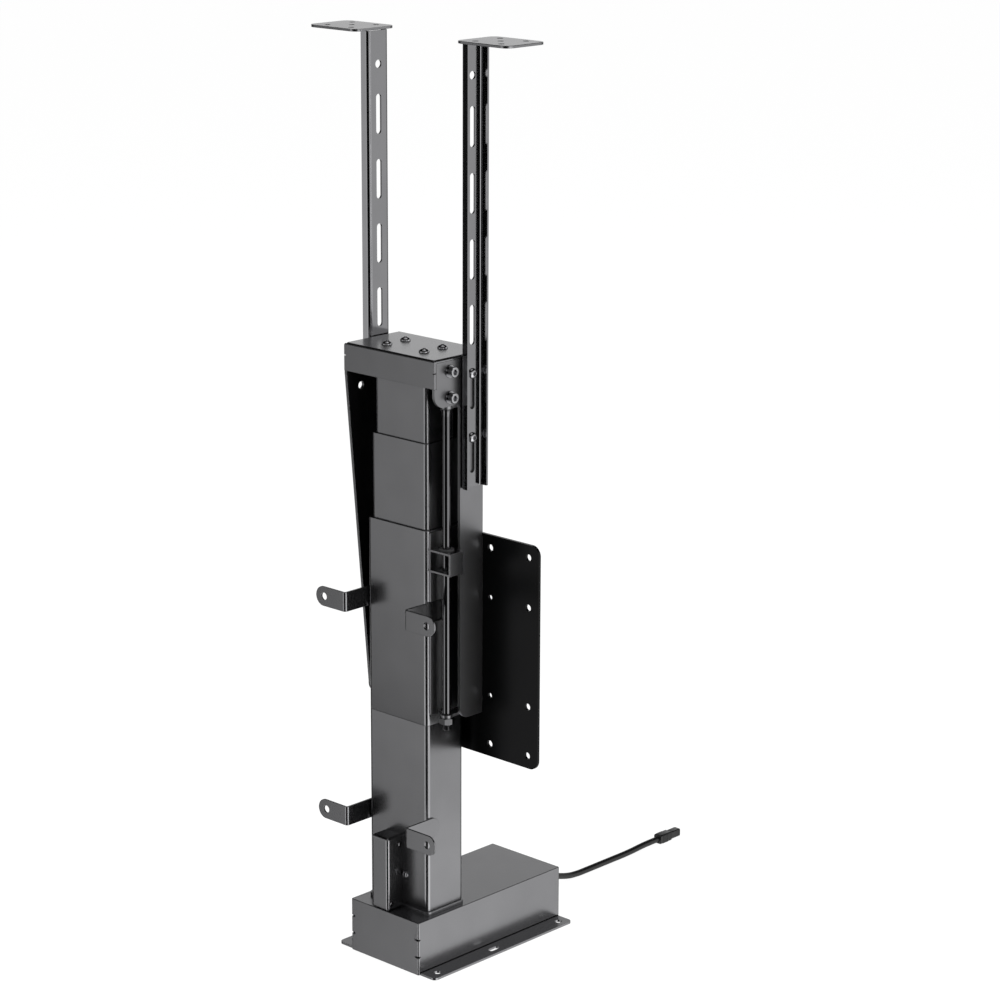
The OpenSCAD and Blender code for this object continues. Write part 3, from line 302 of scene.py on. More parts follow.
# %% [markdown]
# The fasteners sit where the CAD nodes do. Their places are read from the nodes'
# own boxes, so a change of the frame moves them along. All the larger ones are M6:
# button heads on the head and the uprights, socket heads with washers on the arms.
# %% Screws, bolts and nuts


def box_mm(node):
    """Lowest and highest corner of a CAD node at rest, in millimetres."""
    low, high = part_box(node)
    return np.array(low) / MM, np.array(high) / MM


M6_HEAD_R, M6_HEAD_H = 5.25, 3.9
M6_SOCKET_R, M6_SOCKET_H = 5.0, 6.0
M6_NUT_FLATS, M6_NUT_H, M6_BORE_R = 10.0, 5.0, 3.05
M6_SHANK_R = 3.0
HEAD_SHANK, BOLT_SHANK = 12, 9
WASHER_R, WASHER_T = 6.2, 1.6
ROD_NUT_FLATS, ROD_NUT_BORE_R = 13.0, 4.05
low, high = box_mm("head_screws")
head_z = high[2] - M6_HEAD_H
head_parts = [placed_part(button_head(M6_HEAD_R, M6_HEAD_H, M6_SHANK_R, HEAD_SHANK),
                          (x, y, head_z), (0, 0, 1))
              for x in (low[0] + M6_HEAD_R, high[0] - M6_HEAD_R)
              for y in (low[1] + M6_HEAD_R, high[1] - M6_HEAD_R)]
stands_for(joined("head_button_screws", head_parts), "head_screws")

low, high = box_mm("upright_bolts")
bolt_zs = (low[2] + M6_HEAD_R, high[2] - M6_HEAD_R)
bolt_y = (low[1] + high[1]) / 2
upright_parts = [placed_part(button_head(M6_HEAD_R, M6_HEAD_H, M6_SHANK_R, BOLT_SHANK),
                             (s * (high[0] - M6_HEAD_H), bolt_y, z), (s, 0, 0))
                 for s in (-1, 1) for z in bolt_zs]
stands_for(joined("upright_button_bolts", upright_parts), "upright_bolts")

low, high = box_mm("arm_bolts")
arm_zs = (low[2] + M6_SOCKET_R, high[2] - M6_SOCKET_R)
arm_y = (low[1] + high[1]) / 2
arm_seats = [(-1, arm_zs[0]), (-1, arm_zs[1]), (1, arm_zs[1])]
arm_parts = [placed_part(socket_head(M6_SOCKET_R, M6_SOCKET_H, M6_SHANK_R, BOLT_SHANK),
                         (s * (high[0] - M6_SOCKET_H), arm_y, z), (s, 0, 0)) for s, z in arm_seats]
stands_for(joined("arm_socket_bolts", arm_parts), "arm_bolts")

low, high = box_mm("arm_washers")
washer_parts = [placed_part(washer(M6_BORE_R, WASHER_R, WASHER_T),
                            (s * (high[0] - WASHER_T), arm_y, z), (s, 0, 0)) for s, z in arm_seats]
stands_for(joined("arm_bolt_washers", washer_parts), "arm_washers")

low, high = box_mm("weld_nuts")
nut_faces = {arm_zs[0]: low[0] + M6_NUT_H, arm_zs[1]: -high[0]}
weld_parts = [placed_part(nut(M6_NUT_FLATS, M6_NUT_H, M6_BORE_R),
                          (s * abs(nut_faces[z]), arm_y, z), (-s, 0, 0)) for s, z in arm_seats]
stands_for(joined("ear_weld_nuts", weld_parts), "weld_nuts")

low, high = box_mm("rod_nut")
rod_x, rod_y = (low[0] + high[0]) / 2, (low[1] + high[1]) / 2
rod_nut_part = placed_part(nut(ROD_NUT_FLATS, high[2] - low[2], ROD_NUT_BORE_R),
                           (rod_x, rod_y, low[2]), (0, 0, 1))
stands_for(joined("guide_rod_nut", [rod_nut_part]), "rod_nut")
print("fasteners", len(head_parts) + len(upright_parts) + len(arm_parts) + 1)

# %% [markdown]
# The guide rod is ground bar, welded into the arm's upper tab and held by a nut under
# the lower one, so only its lower end carries a rolled thread. The thread is one
# formula: the radius falls by a triangle wave of height minus angle, once per pitch,
# and fades out where the thread ends. The weld's fillet under the upper tab is added to
# the same radius.
# %% Guide rod
low, high = box_mm("guide_rod")
ROD_R, THREAD_PITCH, THREAD_DEPTH, THREAD_LEN = 4.0, 1.25, 0.55, 18.0
TAB_T, WELD_R, WELD_LEG = 3.0, 2.4, 6.5
THREAD_FADE, RINGS_PER_TURN = 1.5, 8
UPPER_RINGS = np.array([12.0, 9.0, 7.0, 5.5, 4.3, 3.4, 3.05, 3.0, 0.5, 0.0])


def threaded_rod(z0, z1):
    """r(z, a) = R - depth * triangle(z / pitch - a / 2 pi) * fade(z), with chamfered ends."""
    near = np.linspace(0, THREAD_LEN, int(THREAD_LEN / THREAD_PITCH * RINGS_PER_TURN))
    z = np.concatenate([z0 + near, z1 - UPPER_RINGS])[:, None]
    end = np.minimum(z - z0, z1 - z)
    fade = np.clip((THREAD_LEN - (z - z0)) / THREAD_FADE, 0, 1)
    wave = np.abs(((z / THREAD_PITCH - ANGLES[None, :] / (2 * math.pi)) % 1.0) * 2 - 1)
    radius = ROD_R - 0.02 - THREAD_DEPTH * wave * fade
    radius = np.minimum(radius, ROD_R - 0.8 + end)
    below_tab = z1 - z - TAB_T
    radius = radius + WELD_R * np.clip(1 - below_tab / WELD_LEG, 0, 1) ** 1.6 * (below_tab > 0.02)
    grid = np.stack([radius * np.cos(ANGLES), radius * np.sin(ANGLES), np.broadcast_to(z, radius.shape)], -1)
    first, last = (np.broadcast_to([0, 0, e], (1, SIDES, 3)) for e in (z0, z1))
    grid = np.concatenate([first, grid, last]) * MM
    return grid, grid_faces(len(grid), SIDES, wrap_cols=True)


rod_grid, rod_faces = threaded_rod(low[2], high[2])
rod = mesh_piece("guide_rod_bar", rod_grid + np.array([rod_x, rod_y, 0]) * MM, rod_faces, smooth_deg=50)
stands_for(rod, "guide_rod")
print("rod", round(high[2] - low[2], 1), "mm long, thread pitch", THREAD_PITCH)

# %% [markdown]
# Each stage of the column is a welded rectangular tube. Its section is a rectangle
# with round corners, walked by angle, and a short profile carries that section up
# the outside, over a rounded lip and down the inside, so one grid makes the
# whole tube with no open edge.
# %% Column tubes
RUN_ON = 0.4


def rounded_section(width, depth, radius, corner_steps=8):
    """Corner centres and outward directions round a rectangle; each arc runs on straight a little at both
    ends, so that the smooth shading of the corner stops there and the flats stay flat."""
    quarter = np.linspace(0, math.pi / 2, corner_steps)[[0, *range(corner_steps), -1]]
    a = (np.arange(4)[:, None] * math.pi / 2 + quarter[None, :]).ravel()
    count = corner_steps + 2
    sx = np.repeat([1, -1, -1, 1], count)
    sy = np.repeat([1, 1, -1, -1], count)
    out = np.stack([np.cos(a), np.sin(a)], -1)
    along = np.stack([-np.sin(a), np.cos(a)], -1)
    ends = np.tile([-RUN_ON, *[0] * corner_steps, RUN_ON], 4)[:, None]
    centre = np.stack([sx * (width / 2 - radius), sy * (depth / 2 - radius)], -1) + along * ends
    return centre, out


def section_rings(centre, out, radius, walk):
    """A ring centre + out * (radius + inset) at height z for each (inset, z) of the walk."""
    return [np.column_stack([centre + out * (radius + inset), np.full(len(centre), z)]) for inset, z in walk]


def tube_part(width, depth, radius, wall, z0, z1, lip, foot):
    """Section carried round the wall: outside up, over the lip, inside down, under the foot's round edge."""
    centre, out = rounded_section(width, depth, radius)
    turn = np.radians(np.linspace(0, 90, 4))
    outer_lip = [(-lip + lip * math.cos(t), z1 - lip + lip * math.sin(t)) for t in turn]
    inner_lip = [(-wall + lip - lip * math.sin(t), z1 - lip + lip * math.cos(t)) for t in turn]
    foot_edge = [(-foot + foot * math.sin(t), z0 + foot - foot * math.cos(t)) for t in turn]
    walk = foot_edge + outer_lip + inner_lip + [(-wall, z0)]
    grid = np.stack(section_rings(centre, out, radius, walk)) * MM
    return grid, grid_faces(len(grid), grid.shape[1], wrap_rows=True, wrap_cols=True)


TUBE_WALL = 2.0
SQUARE_FOOT = 0.02
TUBES = {"pedestal_tube": (4.0, 0.2, SQUARE_FOOT), "outer_tube": (4.0, 0.45, 0.6),
         "mid_tube": (3.8, 0.45, SQUARE_FOOT), "inner_tube": (3.6, 0.45, SQUARE_FOOT)}
for node, (corner_r, lip, foot) in TUBES.items():
    low, high = box_mm(node)
    part = tube_part(high[0] - low[0], high[1] - low[1], corner_r, TUBE_WALL, low[2], high[2], lip, foot)
    stands_for(joined(node + "_shell", [part], smooth_deg=25), node)
    print(node, (high - low).round(1))

# %% [markdown]
# The other steel pieces are laser-cut and folded sheet. Their shapes are right in
# the frame already; what the real ones have more is a small round along every cut
# edge, which catches light as a thin line. A copy of each node is welded together
# and gets a live Bevel, and weighted normals after it keep the large faces flat.
# On two pieces with narrow slits the Bevel keeps its full width past the short edges.
# %% Softened sheet pieces
SHEETS = {"base_cover": 0.7, "base_plate": 0.5, "foot_plate": 0.6, "guide_plate": 0.35,
          "guide_bracket": 0.5, "wall_bracket_upper_left": 0.4, "wall_bracket_upper_right": 0.4,
          "wall_bracket_lower_left": 0.4, "wall_bracket_lower_right": 0.4,
          "head_bracket": 0.3, "arm_right": 0.4, "arm_left": 0.4, "back_plate": 0.3, "vesa_plate": 0.5,
          "lid_plate_left": 0.6, "lid_plate_right": 0.6}
FULL_ROUNDS = ("base_cover", "head_bracket")
FLAT_DEG, SHARP_DEG, EDGE_DEG = 0.6, 30, 32


def softened(node, width_mm):
    """Copy of a CAD node: facets that differ by under 0.6 degrees are joined, edges over 32 are rounded."""
    mesh = nodes[node].data.copy()
    work = bmesh.new()
    work.from_mesh(mesh)
    bmesh.ops.remove_doubles(work, verts=work.verts, dist=1e-6)
    bmesh.ops.dissolve_limit(work, angle_limit=math.radians(FLAT_DEG), verts=work.verts, edges=work.edges)
    work.to_mesh(mesh)
    work.free()
    mesh.polygons.foreach_set("use_smooth", np.ones(len(mesh.polygons), bool))
    mesh.set_sharp_from_angle(angle=math.radians(SHARP_DEG))
    piece = bpy.data.objects.new(node + "_sheet", mesh)
    bpy.context.scene.collection.objects.link(piece)
    bevel = piece.modifiers.new("edge round", "BEVEL")
    bevel.width = width_mm * MM
    bevel.segments = 3
    bevel.limit_method = "ANGLE"
    bevel.angle_limit = math.radians(EDGE_DEG)
    bevel.miter_outer = "MITER_ARC"
    bevel.use_clamp_overlap = node not in FULL_ROUNDS
    flats = piece.modifiers.new("flat faces", "WEIGHTED_NORMAL")
    flats.weight = 100
    flats.keep_sharp = True
    return stands_for(piece, node)


for node, width in SHEETS.items():
    softened(node, width)
print("sheet pieces", len(SHEETS))

# %% [markdown]
# The receiver's box is a deep-drawn cap, open towards the column, so all its edges
# are rounded alike. The same rounded section as the tubes' is drawn in over a
# quarter circle at the front, and returns inside as far as the wall is thick.
# %% Receiver box
BOX_EDGE, BOX_WALL = 2.6, 1.5
FRONT_SHARE = 0.9


def drawn_cap(width, height, depth, radius, wall):
    """Along +Z: inset -r (1 - sin t) at depth - r (1 - cos t), then straight back and inside again."""
    centre, out = rounded_section(width, height, radius)
    turn = np.radians(np.linspace(0, 90, 7))
    walk = [(-radius * (1 - math.sin(t)), depth - radius * (1 - math.cos(t))) for t in turn]
    walk += [(0, depth - radius - RUN_ON), (0, 0), (-wall, 0), (-wall, depth - wall)]
    rings = section_rings(centre, out, radius, walk)
    front = np.column_stack([centre * FRONT_SHARE, np.full(len(centre), depth)])
    grid = np.stack([front * [0, 0, 1], front, *rings, rings[-1] * [0, 0, 1]]) * MM
    return grid, grid_faces(len(grid), grid.shape[1], wrap_cols=True)


low, high = box_mm("receiver_box")
cap = drawn_cap(high[0] - low[0], high[2] - low[2], high[1] - low[1], BOX_EDGE, BOX_WALL)
cap = placed_part(cap, ((low[0] + high[0]) / 2, low[1], (low[2] + high[2]) / 2), (0, 1, 0))
stands_for(joined("receiver_box_cap", [cap]), "receiver_box")
print("receiver box", (high - low).round(1))

# %% [markdown]
# A folded channel springs open a little when it leaves the press, so its legs stand a
# few degrees wider than square. It is only half a millimetre at their ends, but
# it decides what the glossy legs mirror. The copy's points past the bend are
# moved outwards in proportion to how far out they lie.
# %% Lid uprights
BEND_END_MM = 65.0
SPRING_DEG = 5.5
UPRIGHT_EDGE = 0.75


def sprung_open(piece):
    """y moves away from the channel's middle by (|x| - bend end) * tan(spring angle), past the bend."""
    points = np.empty(len(piece.data.vertices) * 3)
    piece.data.vertices.foreach_get("co", points)
    points = points.reshape(-1, 3)
    middle = (points[:, 1].min() + points[:, 1].max()) / 2
    past = np.maximum(np.abs(points[:, 0]) - BEND_END_MM * MM, 0)
    moved = past * math.tan(math.radians(SPRING_DEG))
    points[:, 1] += np.sign(points[:, 1] - middle) * moved
    piece.data.vertices.foreach_set("co", points.ravel())
    return float(moved.max() / MM)


opened = [sprung_open(softened(node, UPRIGHT_EDGE)) for node in ("upright_left", "upright_right")]
print("uprights open by", [round(v, 2) for v in opened], "mm")

# %% [markdown]
# The lead ends in a small two-part plug: a body and a slimmer nose. Both are
# boxes with round edges, made as a section that shrinks towards the ends. The
# gland at the other end is a turned, ribbed cone.
# %% Plug and gland
CORNER_EXTRA = 0.8
PLUG_BODY = (19.0, 10.4, 10.0, 0.9)
PLUG_NOSE = (16.4, 8.8, 8.4, 0.5)
PLUG_RIB = (1.1, 10.9, 9.9, 0.3)
NOSE_INSIDE, RIB_START, RIB_PITCH, RIB_COUNT = 1.5, 4.0, 2.4, 4


def soft_box(length, width, height, edge):
    """Rounded section carried along +Z; both ends are drawn in by edge (1 - cos t) over a quarter circle."""
    radius = edge + CORNER_EXTRA
    centre, out = rounded_section(width, height, radius, 5)
    turn = np.radians(np.linspace(0, 90, 5))
    ends = [(-edge * (1 - math.cos(t)), length - edge + edge * math.sin(t)) for t in turn]
    rings = section_rings(centre, out, radius, [(inset, length - z) for inset, z in ends[::-1]] + ends)
    grid = np.stack([rings[0] * [0, 0, 1], *rings, rings[-1] * [0, 0, 1]]) * MM
    return grid, grid_faces(len(grid), grid.shape[1], wrap_cols=True)


def plug_piece(sizes, down):
    """One soft box of the plug, starting the given distance down from the lead's end, along -Y."""
    low, high = box_mm("lead_plug")
    start = ((low[0] + high[0]) / 2, high[1] - down, (low[2] + high[2]) / 2)
    return placed_part(soft_box(*sizes), start, (0, -1, 0))


plug_parts = [plug_piece(PLUG_BODY, 0.0), plug_piece(PLUG_NOSE, PLUG_BODY[0] - NOSE_INSIDE)]
plug_parts += [plug_piece(PLUG_RIB, RIB_START + RIB_PITCH * k) for k in range(RIB_COUNT)]
plug = stands_for(joined("lead_plug_body", plug_parts, smooth_deg=40), "lead_plug")

GLAND_OUT, GLAND_RIM_R, GLAND_RIM_T, GLAND_INSIDE = 13.7, 7.8, 2.0, 4.3
CONE_R, CONE_TAPER, CONE_LEN, CONE_RINGS, GROOVE = 6.1, 1.9, 11.3, 14, 0.5
low, high = box_mm("lead_gland")
gland_mid = ((low[0] + high[0]) / 2, low[1], (low[2] + high[2]) / 2)
ribs = [(CONE_R - CONE_TAPER * t + (0.0 if k % 2 else -GROOVE), GLAND_OUT - 2.2 - CONE_LEN * t)
        for k, t in enumerate(np.linspace(0, 0.94, CONE_RINGS))]
gland_inside = [(0, GLAND_INSIDE), (6.3, GLAND_INSIDE), (6.3, 2.4), (4.9, 2.4), (4.9, 0)]
gland_rim = [(GLAND_RIM_R - 0.2, 0), (GLAND_RIM_R, -0.3), (GLAND_RIM_R, -1.7), (7.4, -GLAND_RIM_T)]
gland_profile = [(r, GLAND_OUT + h) for r, h in gland_inside + gland_rim] + ribs
gland_profile += [(4.2, 0.2), (4.0, 0), (0, 0)]
gland_part = placed_part(ring_part(gland_profile), gland_mid, (0, 1, 0))
gland = stands_for(joined("lead_gland_cone", [gland_part]), "lead_gland")
print("plug and gland done")

# %% [markdown]
# Two small button screws close the receiver box's side, at opposite corners, and a
# larger one sits in the column's front. They are the same turned head as the M6
# ones, only smaller, and hardly any of their shanks is needed behind the sheet.
# %% Small screws
BOX_SCREW_R, BOX_SCREW_H, BOX_SCREW_SHANK_R = 2.8, 1.5, 1.5
BOX_SCREW_SEAT = 1.4
COLUMN_SCREW_R, COLUMN_SCREW_H = 3.6, 2.0
low, high = box_mm("receiver_screws")
box_screw_spots = [(high[1] - BOX_SCREW_R, low[2] + BOX_SCREW_R),
                   (low[1] + BOX_SCREW_R, high[2] - BOX_SCREW_R)]
receiver_parts = [placed_part(button_head(BOX_SCREW_R, BOX_SCREW_H, BOX_SCREW_SHANK_R, 2.5),
                              (low[0] + BOX_SCREW_SEAT, y, z), (-1, 0, 0)) for y, z in box_screw_spots]
stands_for(joined("receiver_button_screws", receiver_parts), "receiver_screws")
low, high = box_mm("column_screw")
column_part = placed_part(button_head(COLUMN_SCREW_R, COLUMN_SCREW_H, 2.0, 0.1),
                          ((low[0] + high[0]) / 2, low[1], (low[2] + high[2]) / 2), (0, 1, 0))
stands_for(joined("column_button_screw", [column_part]), "column_screw")
print("small screws", len(receiver_parts) + 1)

# %% [markdown]
# Finishes share three effects, so each is a node group. Orange peel is the low,
# rounded ripple of cured powder; speckle changes roughness in soft patches, as
# handling and cure do; machining is a fine directional grain for turned metal.
# Each group gives only heights and values, and the shader stays in the material.
# %% Shared shader groups


def new_group(name, inputs, outputs):
    """A shader node group with float inputs {name: default} and float outputs [name]."""
    group = bpy.data.node_groups.new(name, "ShaderNodeTree")
    for label, value in inputs.items():
        socket = group.interface.new_socket(label, in_out="INPUT", socket_type="NodeSocketFloat")
        socket.default_value = value
    for label in outputs:
        group.interface.new_socket(label, in_out="OUTPUT", socket_type="NodeSocketFloat")
    tree = group.nodes
    return group, tree, tree.new("NodeGroupInput"), tree.new("NodeGroupOutput")


def noise_node(tree, links, coordinate, scale, detail, rough=0.5):
    """3-D noise on the given coordinate."""
    node = tree.new("ShaderNodeTexNoise")
    node.inputs["Scale"].default_value = scale
    node.inputs["Detail"].default_value = detail
    node.inputs["Roughness"].default_value = rough
    links.new(coordinate, node.inputs["Vector"])
    return node


def math_node(tree, links, operation, a, b):
    """Math node on two sockets or numbers; gives its output socket."""
    node = tree.new("ShaderNodeMath")
    node.operation = operation
    for k, value in enumerate((a, b)):
        if isinstance(value, (int, float)):
            node.inputs[k].default_value = value
        else:
            links.new(value, node.inputs[k])
    return node.outputs[0]


def orange_peel_group():
    """Height of cured powder: broad ripple of about 1.5 mm plus a finer one."""
    group, tree, inputs, outputs = new_group("orange peel", {"Fine": 0.35}, ["Height"])
    where = tree.new("ShaderNodeTexCoord").outputs["Object"]
    broad = noise_node(tree, group.links, where, 650, 2)
    fine = noise_node(tree, group.links, where, 2600, 2)
    part = math_node(tree, group.links, "MULTIPLY", fine.outputs[0], inputs.outputs["Fine"])
    group.links.new(math_node(tree, group.links, "ADD", broad.outputs[0], part), outputs.inputs["Height"])
    return group


def speckle_group():
    """Roughness that drifts in hand-sized patches and in small specks round a middle value."""
    group, tree, inputs, outputs = new_group("speckle", {"Middle": 0.3, "Spread": 0.1}, ["Roughness"])
    where = tree.new("ShaderNodeTexCoord").outputs["Object"]
    patch = noise_node(tree, group.links, where, 14, 3)
    speck = noise_node(tree, group.links, where, 420, 2)
    both = math_node(tree, group.links, "ADD", patch.outputs[0], speck.outputs[0])
    centred = math_node(tree, group.links, "SUBTRACT", both, 1.0)
    spread = math_node(tree, group.links, "MULTIPLY", centred, inputs.outputs["Spread"])
    rough = math_node(tree, group.links, "ADD", spread, inputs.outputs["Middle"])
    group.links.new(rough, outputs.inputs["Roughness"])
    return group


def machining_group():
    """Height of fine turning marks: noise squeezed to thin rings along Z."""
    group, tree, inputs, outputs = new_group("machining", {"Amount": 1.0}, ["Height"])
    where = tree.new("ShaderNodeTexCoord").outputs["Object"]
    mapping = tree.new("ShaderNodeMapping")
    mapping.inputs["Scale"].default_value = (0.15, 0.15, 6.0)
    group.links.new(where, mapping.inputs["Vector"])
    mark = noise_node(tree, group.links, mapping.outputs["Vector"], 500, 3)
    group.links.new(math_node(tree, group.links, "MULTIPLY", mark.outputs[0], inputs.outputs["Amount"]),
                    outputs.inputs["Height"])
    return group


GROUPS = {"peel": orange_peel_group(), "speckle": speckle_group(), "machining": machining_group()}
print("shader groups", sorted(GROUPS))

# %% [markdown]
# Each material is a Principled shader with plain constants on its own sockets, and
# the groups drive only roughness, colour and the bump that feeds its normal. The
# powder coat mirrors the studio softly. It comes out flatter on some sheets and
# glossier on the uprights. On the screen plate its colour is painted nearly black,
# as painted shade for the shadow of the arm and column. Blackened fasteners
# mirror more sharply, and the zinc, bronze and nylon parts sit inside the column.
# %% Materials
COAT_ROUGH = 0.2
SECOND_SHARE = 1.18


def finish(name, colour, metallic, rough, spread, relief, height_mm, grain="peel", coat=0.0, second=None,
           mottle_scale=30):
    """Colour mottled towards a second one, roughness = middle + spread * noise, bump from a relief group."""
    material = bpy.data.materials.new(name)
    material.use_nodes = True
    tree, links = material.node_tree.nodes, material.node_tree.links
    shader = tree["Principled BSDF"]
    shader.inputs["Metallic"].default_value = metallic
    shader.inputs["Coat Weight"].default_value = coat
    shader.inputs["Coat Roughness"].default_value = COAT_ROUGH
    speckle = tree.new("ShaderNodeGroup")
    speckle.node_tree = GROUPS["speckle"]
    speckle.inputs["Middle"].default_value = rough
    speckle.inputs["Spread"].default_value = spread
    links.new(speckle.outputs["Roughness"], shader.inputs["Roughness"])
    surface = tree.new("ShaderNodeGroup")
    surface.node_tree = GROUPS[grain]
    bump = tree.new("ShaderNodeBump")
    bump.inputs["Strength"].default_value = relief
    bump.inputs["Distance"].default_value = height_mm * MM
    links.new(surface.outputs["Height"], bump.inputs["Height"])
    links.new(bump.outputs["Normal"], shader.inputs["Normal"])
    mix = tree.new("ShaderNodeMix")
    mix.data_type = "RGBA"
    mix.inputs["A"].default_value = (*colour, 1)
    mix.inputs["B"].default_value = (*(second or [c * SECOND_SHARE for c in colour]), 1)
    mottle = noise_node(tree, links, tree.new("ShaderNodeTexCoord").outputs["Object"], mottle_scale, 3)
    links.new(mottle.outputs[0], mix.inputs["Factor"])
    links.new(mix.outputs["Result"], shader.inputs["Base Color"])
    return material


def grey(value):
    """A neutral colour with a trace of blue, as dark steel has."""
    return [value, value, value * 1.03]


FINISHES = {
    "black_powder_coat": dict(colour=grey(0.24), metallic=1.0, rough=0.26, spread=0.02,
                              relief=0.05, height_mm=0.02),
    "black_powder_coat_flat": dict(colour=grey(0.22), metallic=1.0, rough=0.38, spread=0.03,
                                   relief=0.08, height_mm=0.03),
    # painted shade: the same coat with its colour darkened to near black on the screen plate, standing in
    # for the shadow the arm and column cast there
    "black_powder_coat_painted_shade": dict(colour=grey(0.017), metallic=1.0, rough=0.3, spread=0.03,
                                    relief=0.08, height_mm=0.03),
    "black_powder_coat_gloss": dict(colour=grey(0.25), metallic=1.0, rough=0.13, spread=0.02,
                                    relief=0.08, height_mm=0.02),
    "black_oxide_steel": dict(colour=grey(0.36), metallic=1.0, rough=0.12, spread=0.04,
                              relief=0.15, height_mm=0.02, grain="machining"),
    "zinc_plated_steel": dict(colour=[0.15, 0.15, 0.16], metallic=1.0, rough=0.15, spread=0.05,
                              relief=0.2, height_mm=0.02, grain="machining", second=[0.19] * 3),
    "dark_zinc_steel": dict(colour=grey(0.11), metallic=1.0, rough=0.13, spread=0.04,
                            relief=0.2, height_mm=0.02, grain="machining"),
    "cast_zinc": dict(colour=[0.42, 0.42, 0.44], metallic=0.9, rough=0.5, spread=0.1,
                      relief=0.6, height_mm=0.12),
    "bronze": dict(colour=[0.55, 0.36, 0.14], metallic=1.0, rough=0.35, spread=0.1,
                   relief=0.3, height_mm=0.03, grain="machining"),
    "black_nylon": dict(colour=grey(0.03), metallic=0.0, rough=0.5, spread=0.1,
                        relief=0.4, height_mm=0.04),
    "lead_jacket": dict(colour=grey(0.004), metallic=0.0, rough=0.28, spread=0.05,
                        relief=0.2, height_mm=0.03),
    "circuit_board": dict(colour=[0.015, 0.09, 0.035], metallic=0.0, rough=0.35, spread=0.1,
                          relief=0.3, height_mm=0.05, coat=0.4, second=[0.03, 0.16, 0.06],
                          mottle_scale=220),
}
PIECE_FINISHES = {
    "arm_right_sheet": "black_powder_coat_flat", "back_plate_sheet": "black_powder_coat_flat",
    "guide_plate_sheet": "black_powder_coat_flat", "vesa_plate_sheet": "black_powder_coat_painted_shade",
    "upright_left_sheet": "black_powder_coat_gloss", "upright_right_sheet": "black_powder_coat_gloss",
    "guide_rod_bar": "dark_zinc_steel", "guide_rod_nut": "dark_zinc_steel",
    "receiver_button_screws": "dark_zinc_steel",
}
MATERIALS = {name: finish(name, **values) for name, values in FINISHES.items()}
for thing in list(bpy.data.objects):
    slot = thing.get("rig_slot") or slot_of.get(thing.get("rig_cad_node", ""))
    if thing.type == "MESH" and slot:
        thing.data.materials.clear()
        thing.data.materials.append(MATERIALS[PIECE_FINISHES.get(thing.name, slot)])
print("materials", len(MATERIALS))

# %% [markdown]
# The studio is a white sweep, which the camera sees as pure white. What the coat
# mirrors is a ring of soft panels with dark gaps between them: one gap where the
# camera stands, one beside the right-hand panel. Colour ramps write it: two by
# compass direction, one for low and one for high directions, and one by height,
# with a ceiling panel on top. The floor stays out of the mirrors, so flat faces
# show even tones.
# %% Mirrored studio
LOW_RING = [(0.0, 0.05), (0.103, 0.005), (0.112, 0.12), (0.119, 0.32), (0.130, 0.43), (0.145, 0.9),
            (0.19, 1.15), (0.222, 1.0), (0.243, 0.005), (0.415, 0.005), (0.44, 1.0), (0.475, 1.8),
            (0.54, 1.6), (0.59, 1.05), (0.63, 0.85), (0.68, 0.4), (0.74, 0.2), (0.82, 0.3), (0.9, 0.5)]
HIGH_RING = [(0.0, 0.12), (0.12, 0.1), (0.16, 0.6), (0.25, 0.4), (0.40, 0.4), (0.45, 0.9), (0.55, 1.2),
             (0.63, 0.86), (0.70, 0.5), (0.80, 0.6), (0.87, 0.82), (0.94, 0.4), (0.97, 0.15)]
RISE = [(0.52, 0.0), (0.56, 1.0)]
STOREYS = [(0.0, 0.3), (0.12, 1.4), (0.25, 1.4), (0.3, 1.3), (0.335, 1.0), (0.48, 1.0), (0.53, 1.3),
           (0.6, 1.1), (0.69, 0.9), (0.76, 0.1), (0.81, 0.0), (0.93, 0.0), (0.965, 1.2), (1.0, 1.2)]


def ramp_value(tree, links, place, stops):
    """Value read from a soft ramp of (place, level) stops."""
    ramp = tree.new("ShaderNodeValToRGB")
    ramp.color_ramp.interpolation = "EASE"
    while len(ramp.color_ramp.elements) < len(stops):
        ramp.color_ramp.elements.new(0.5)
    for element, (where, level) in zip(ramp.color_ramp.elements, stops):
        element.position = where
        element.color = (level, level, level, 1)
    links.new(place, ramp.inputs[0])
    return ramp.outputs["Color"]


def ring_of_light(tree, links, direction):
    """Brightness of a direction: a ring's level at atan2(y, x) / 2 pi, times the storeys' at (z + 1) / 2."""
    split = tree.new("ShaderNodeSeparateXYZ")
    links.new(direction, split.inputs[0])
    angle = math_node(tree, links, "ARCTAN2", split.outputs["Y"], split.outputs["X"])
    share = math_node(tree, links, "DIVIDE", angle, 2 * math.pi)
    turn = math_node(tree, links, "FRACT", math_node(tree, links, "ADD", share, 1.0), 0.0)
    height = math_node(tree, links, "MULTIPLY", math_node(tree, links, "ADD", split.outputs["Z"], 1.0), 0.5)
    ring = tree.new("ShaderNodeMix")
    links.new(ramp_value(tree, links, height, RISE), ring.inputs["Factor"])
    links.new(ramp_value(tree, links, turn, LOW_RING), ring.inputs["A"])
    links.new(ramp_value(tree, links, turn, HIGH_RING), ring.inputs["B"])
    storeys = ramp_value(tree, links, height, STOREYS)
    return math_node(tree, links, "MULTIPLY", ring.outputs["Result"], storeys)


print("rings of light ready")

# %% [markdown]
# The floor is white to the camera with a trace of its real shading, so that the
# lift's shadow stays on it, and a plain pale grey to every other ray. The world does
# the same: white to the camera, a level grey to rough surfaces, the ring to mirrors.
# %% Floor and world
FLOOR_HALF, FLOOR_Z = 14.0, -0.0002
FLOOR_TONE, FLOOR_WHITE, SHADING_SHARE = 0.8, 1.08, 0.14
WORLD_LEVEL = 0.55


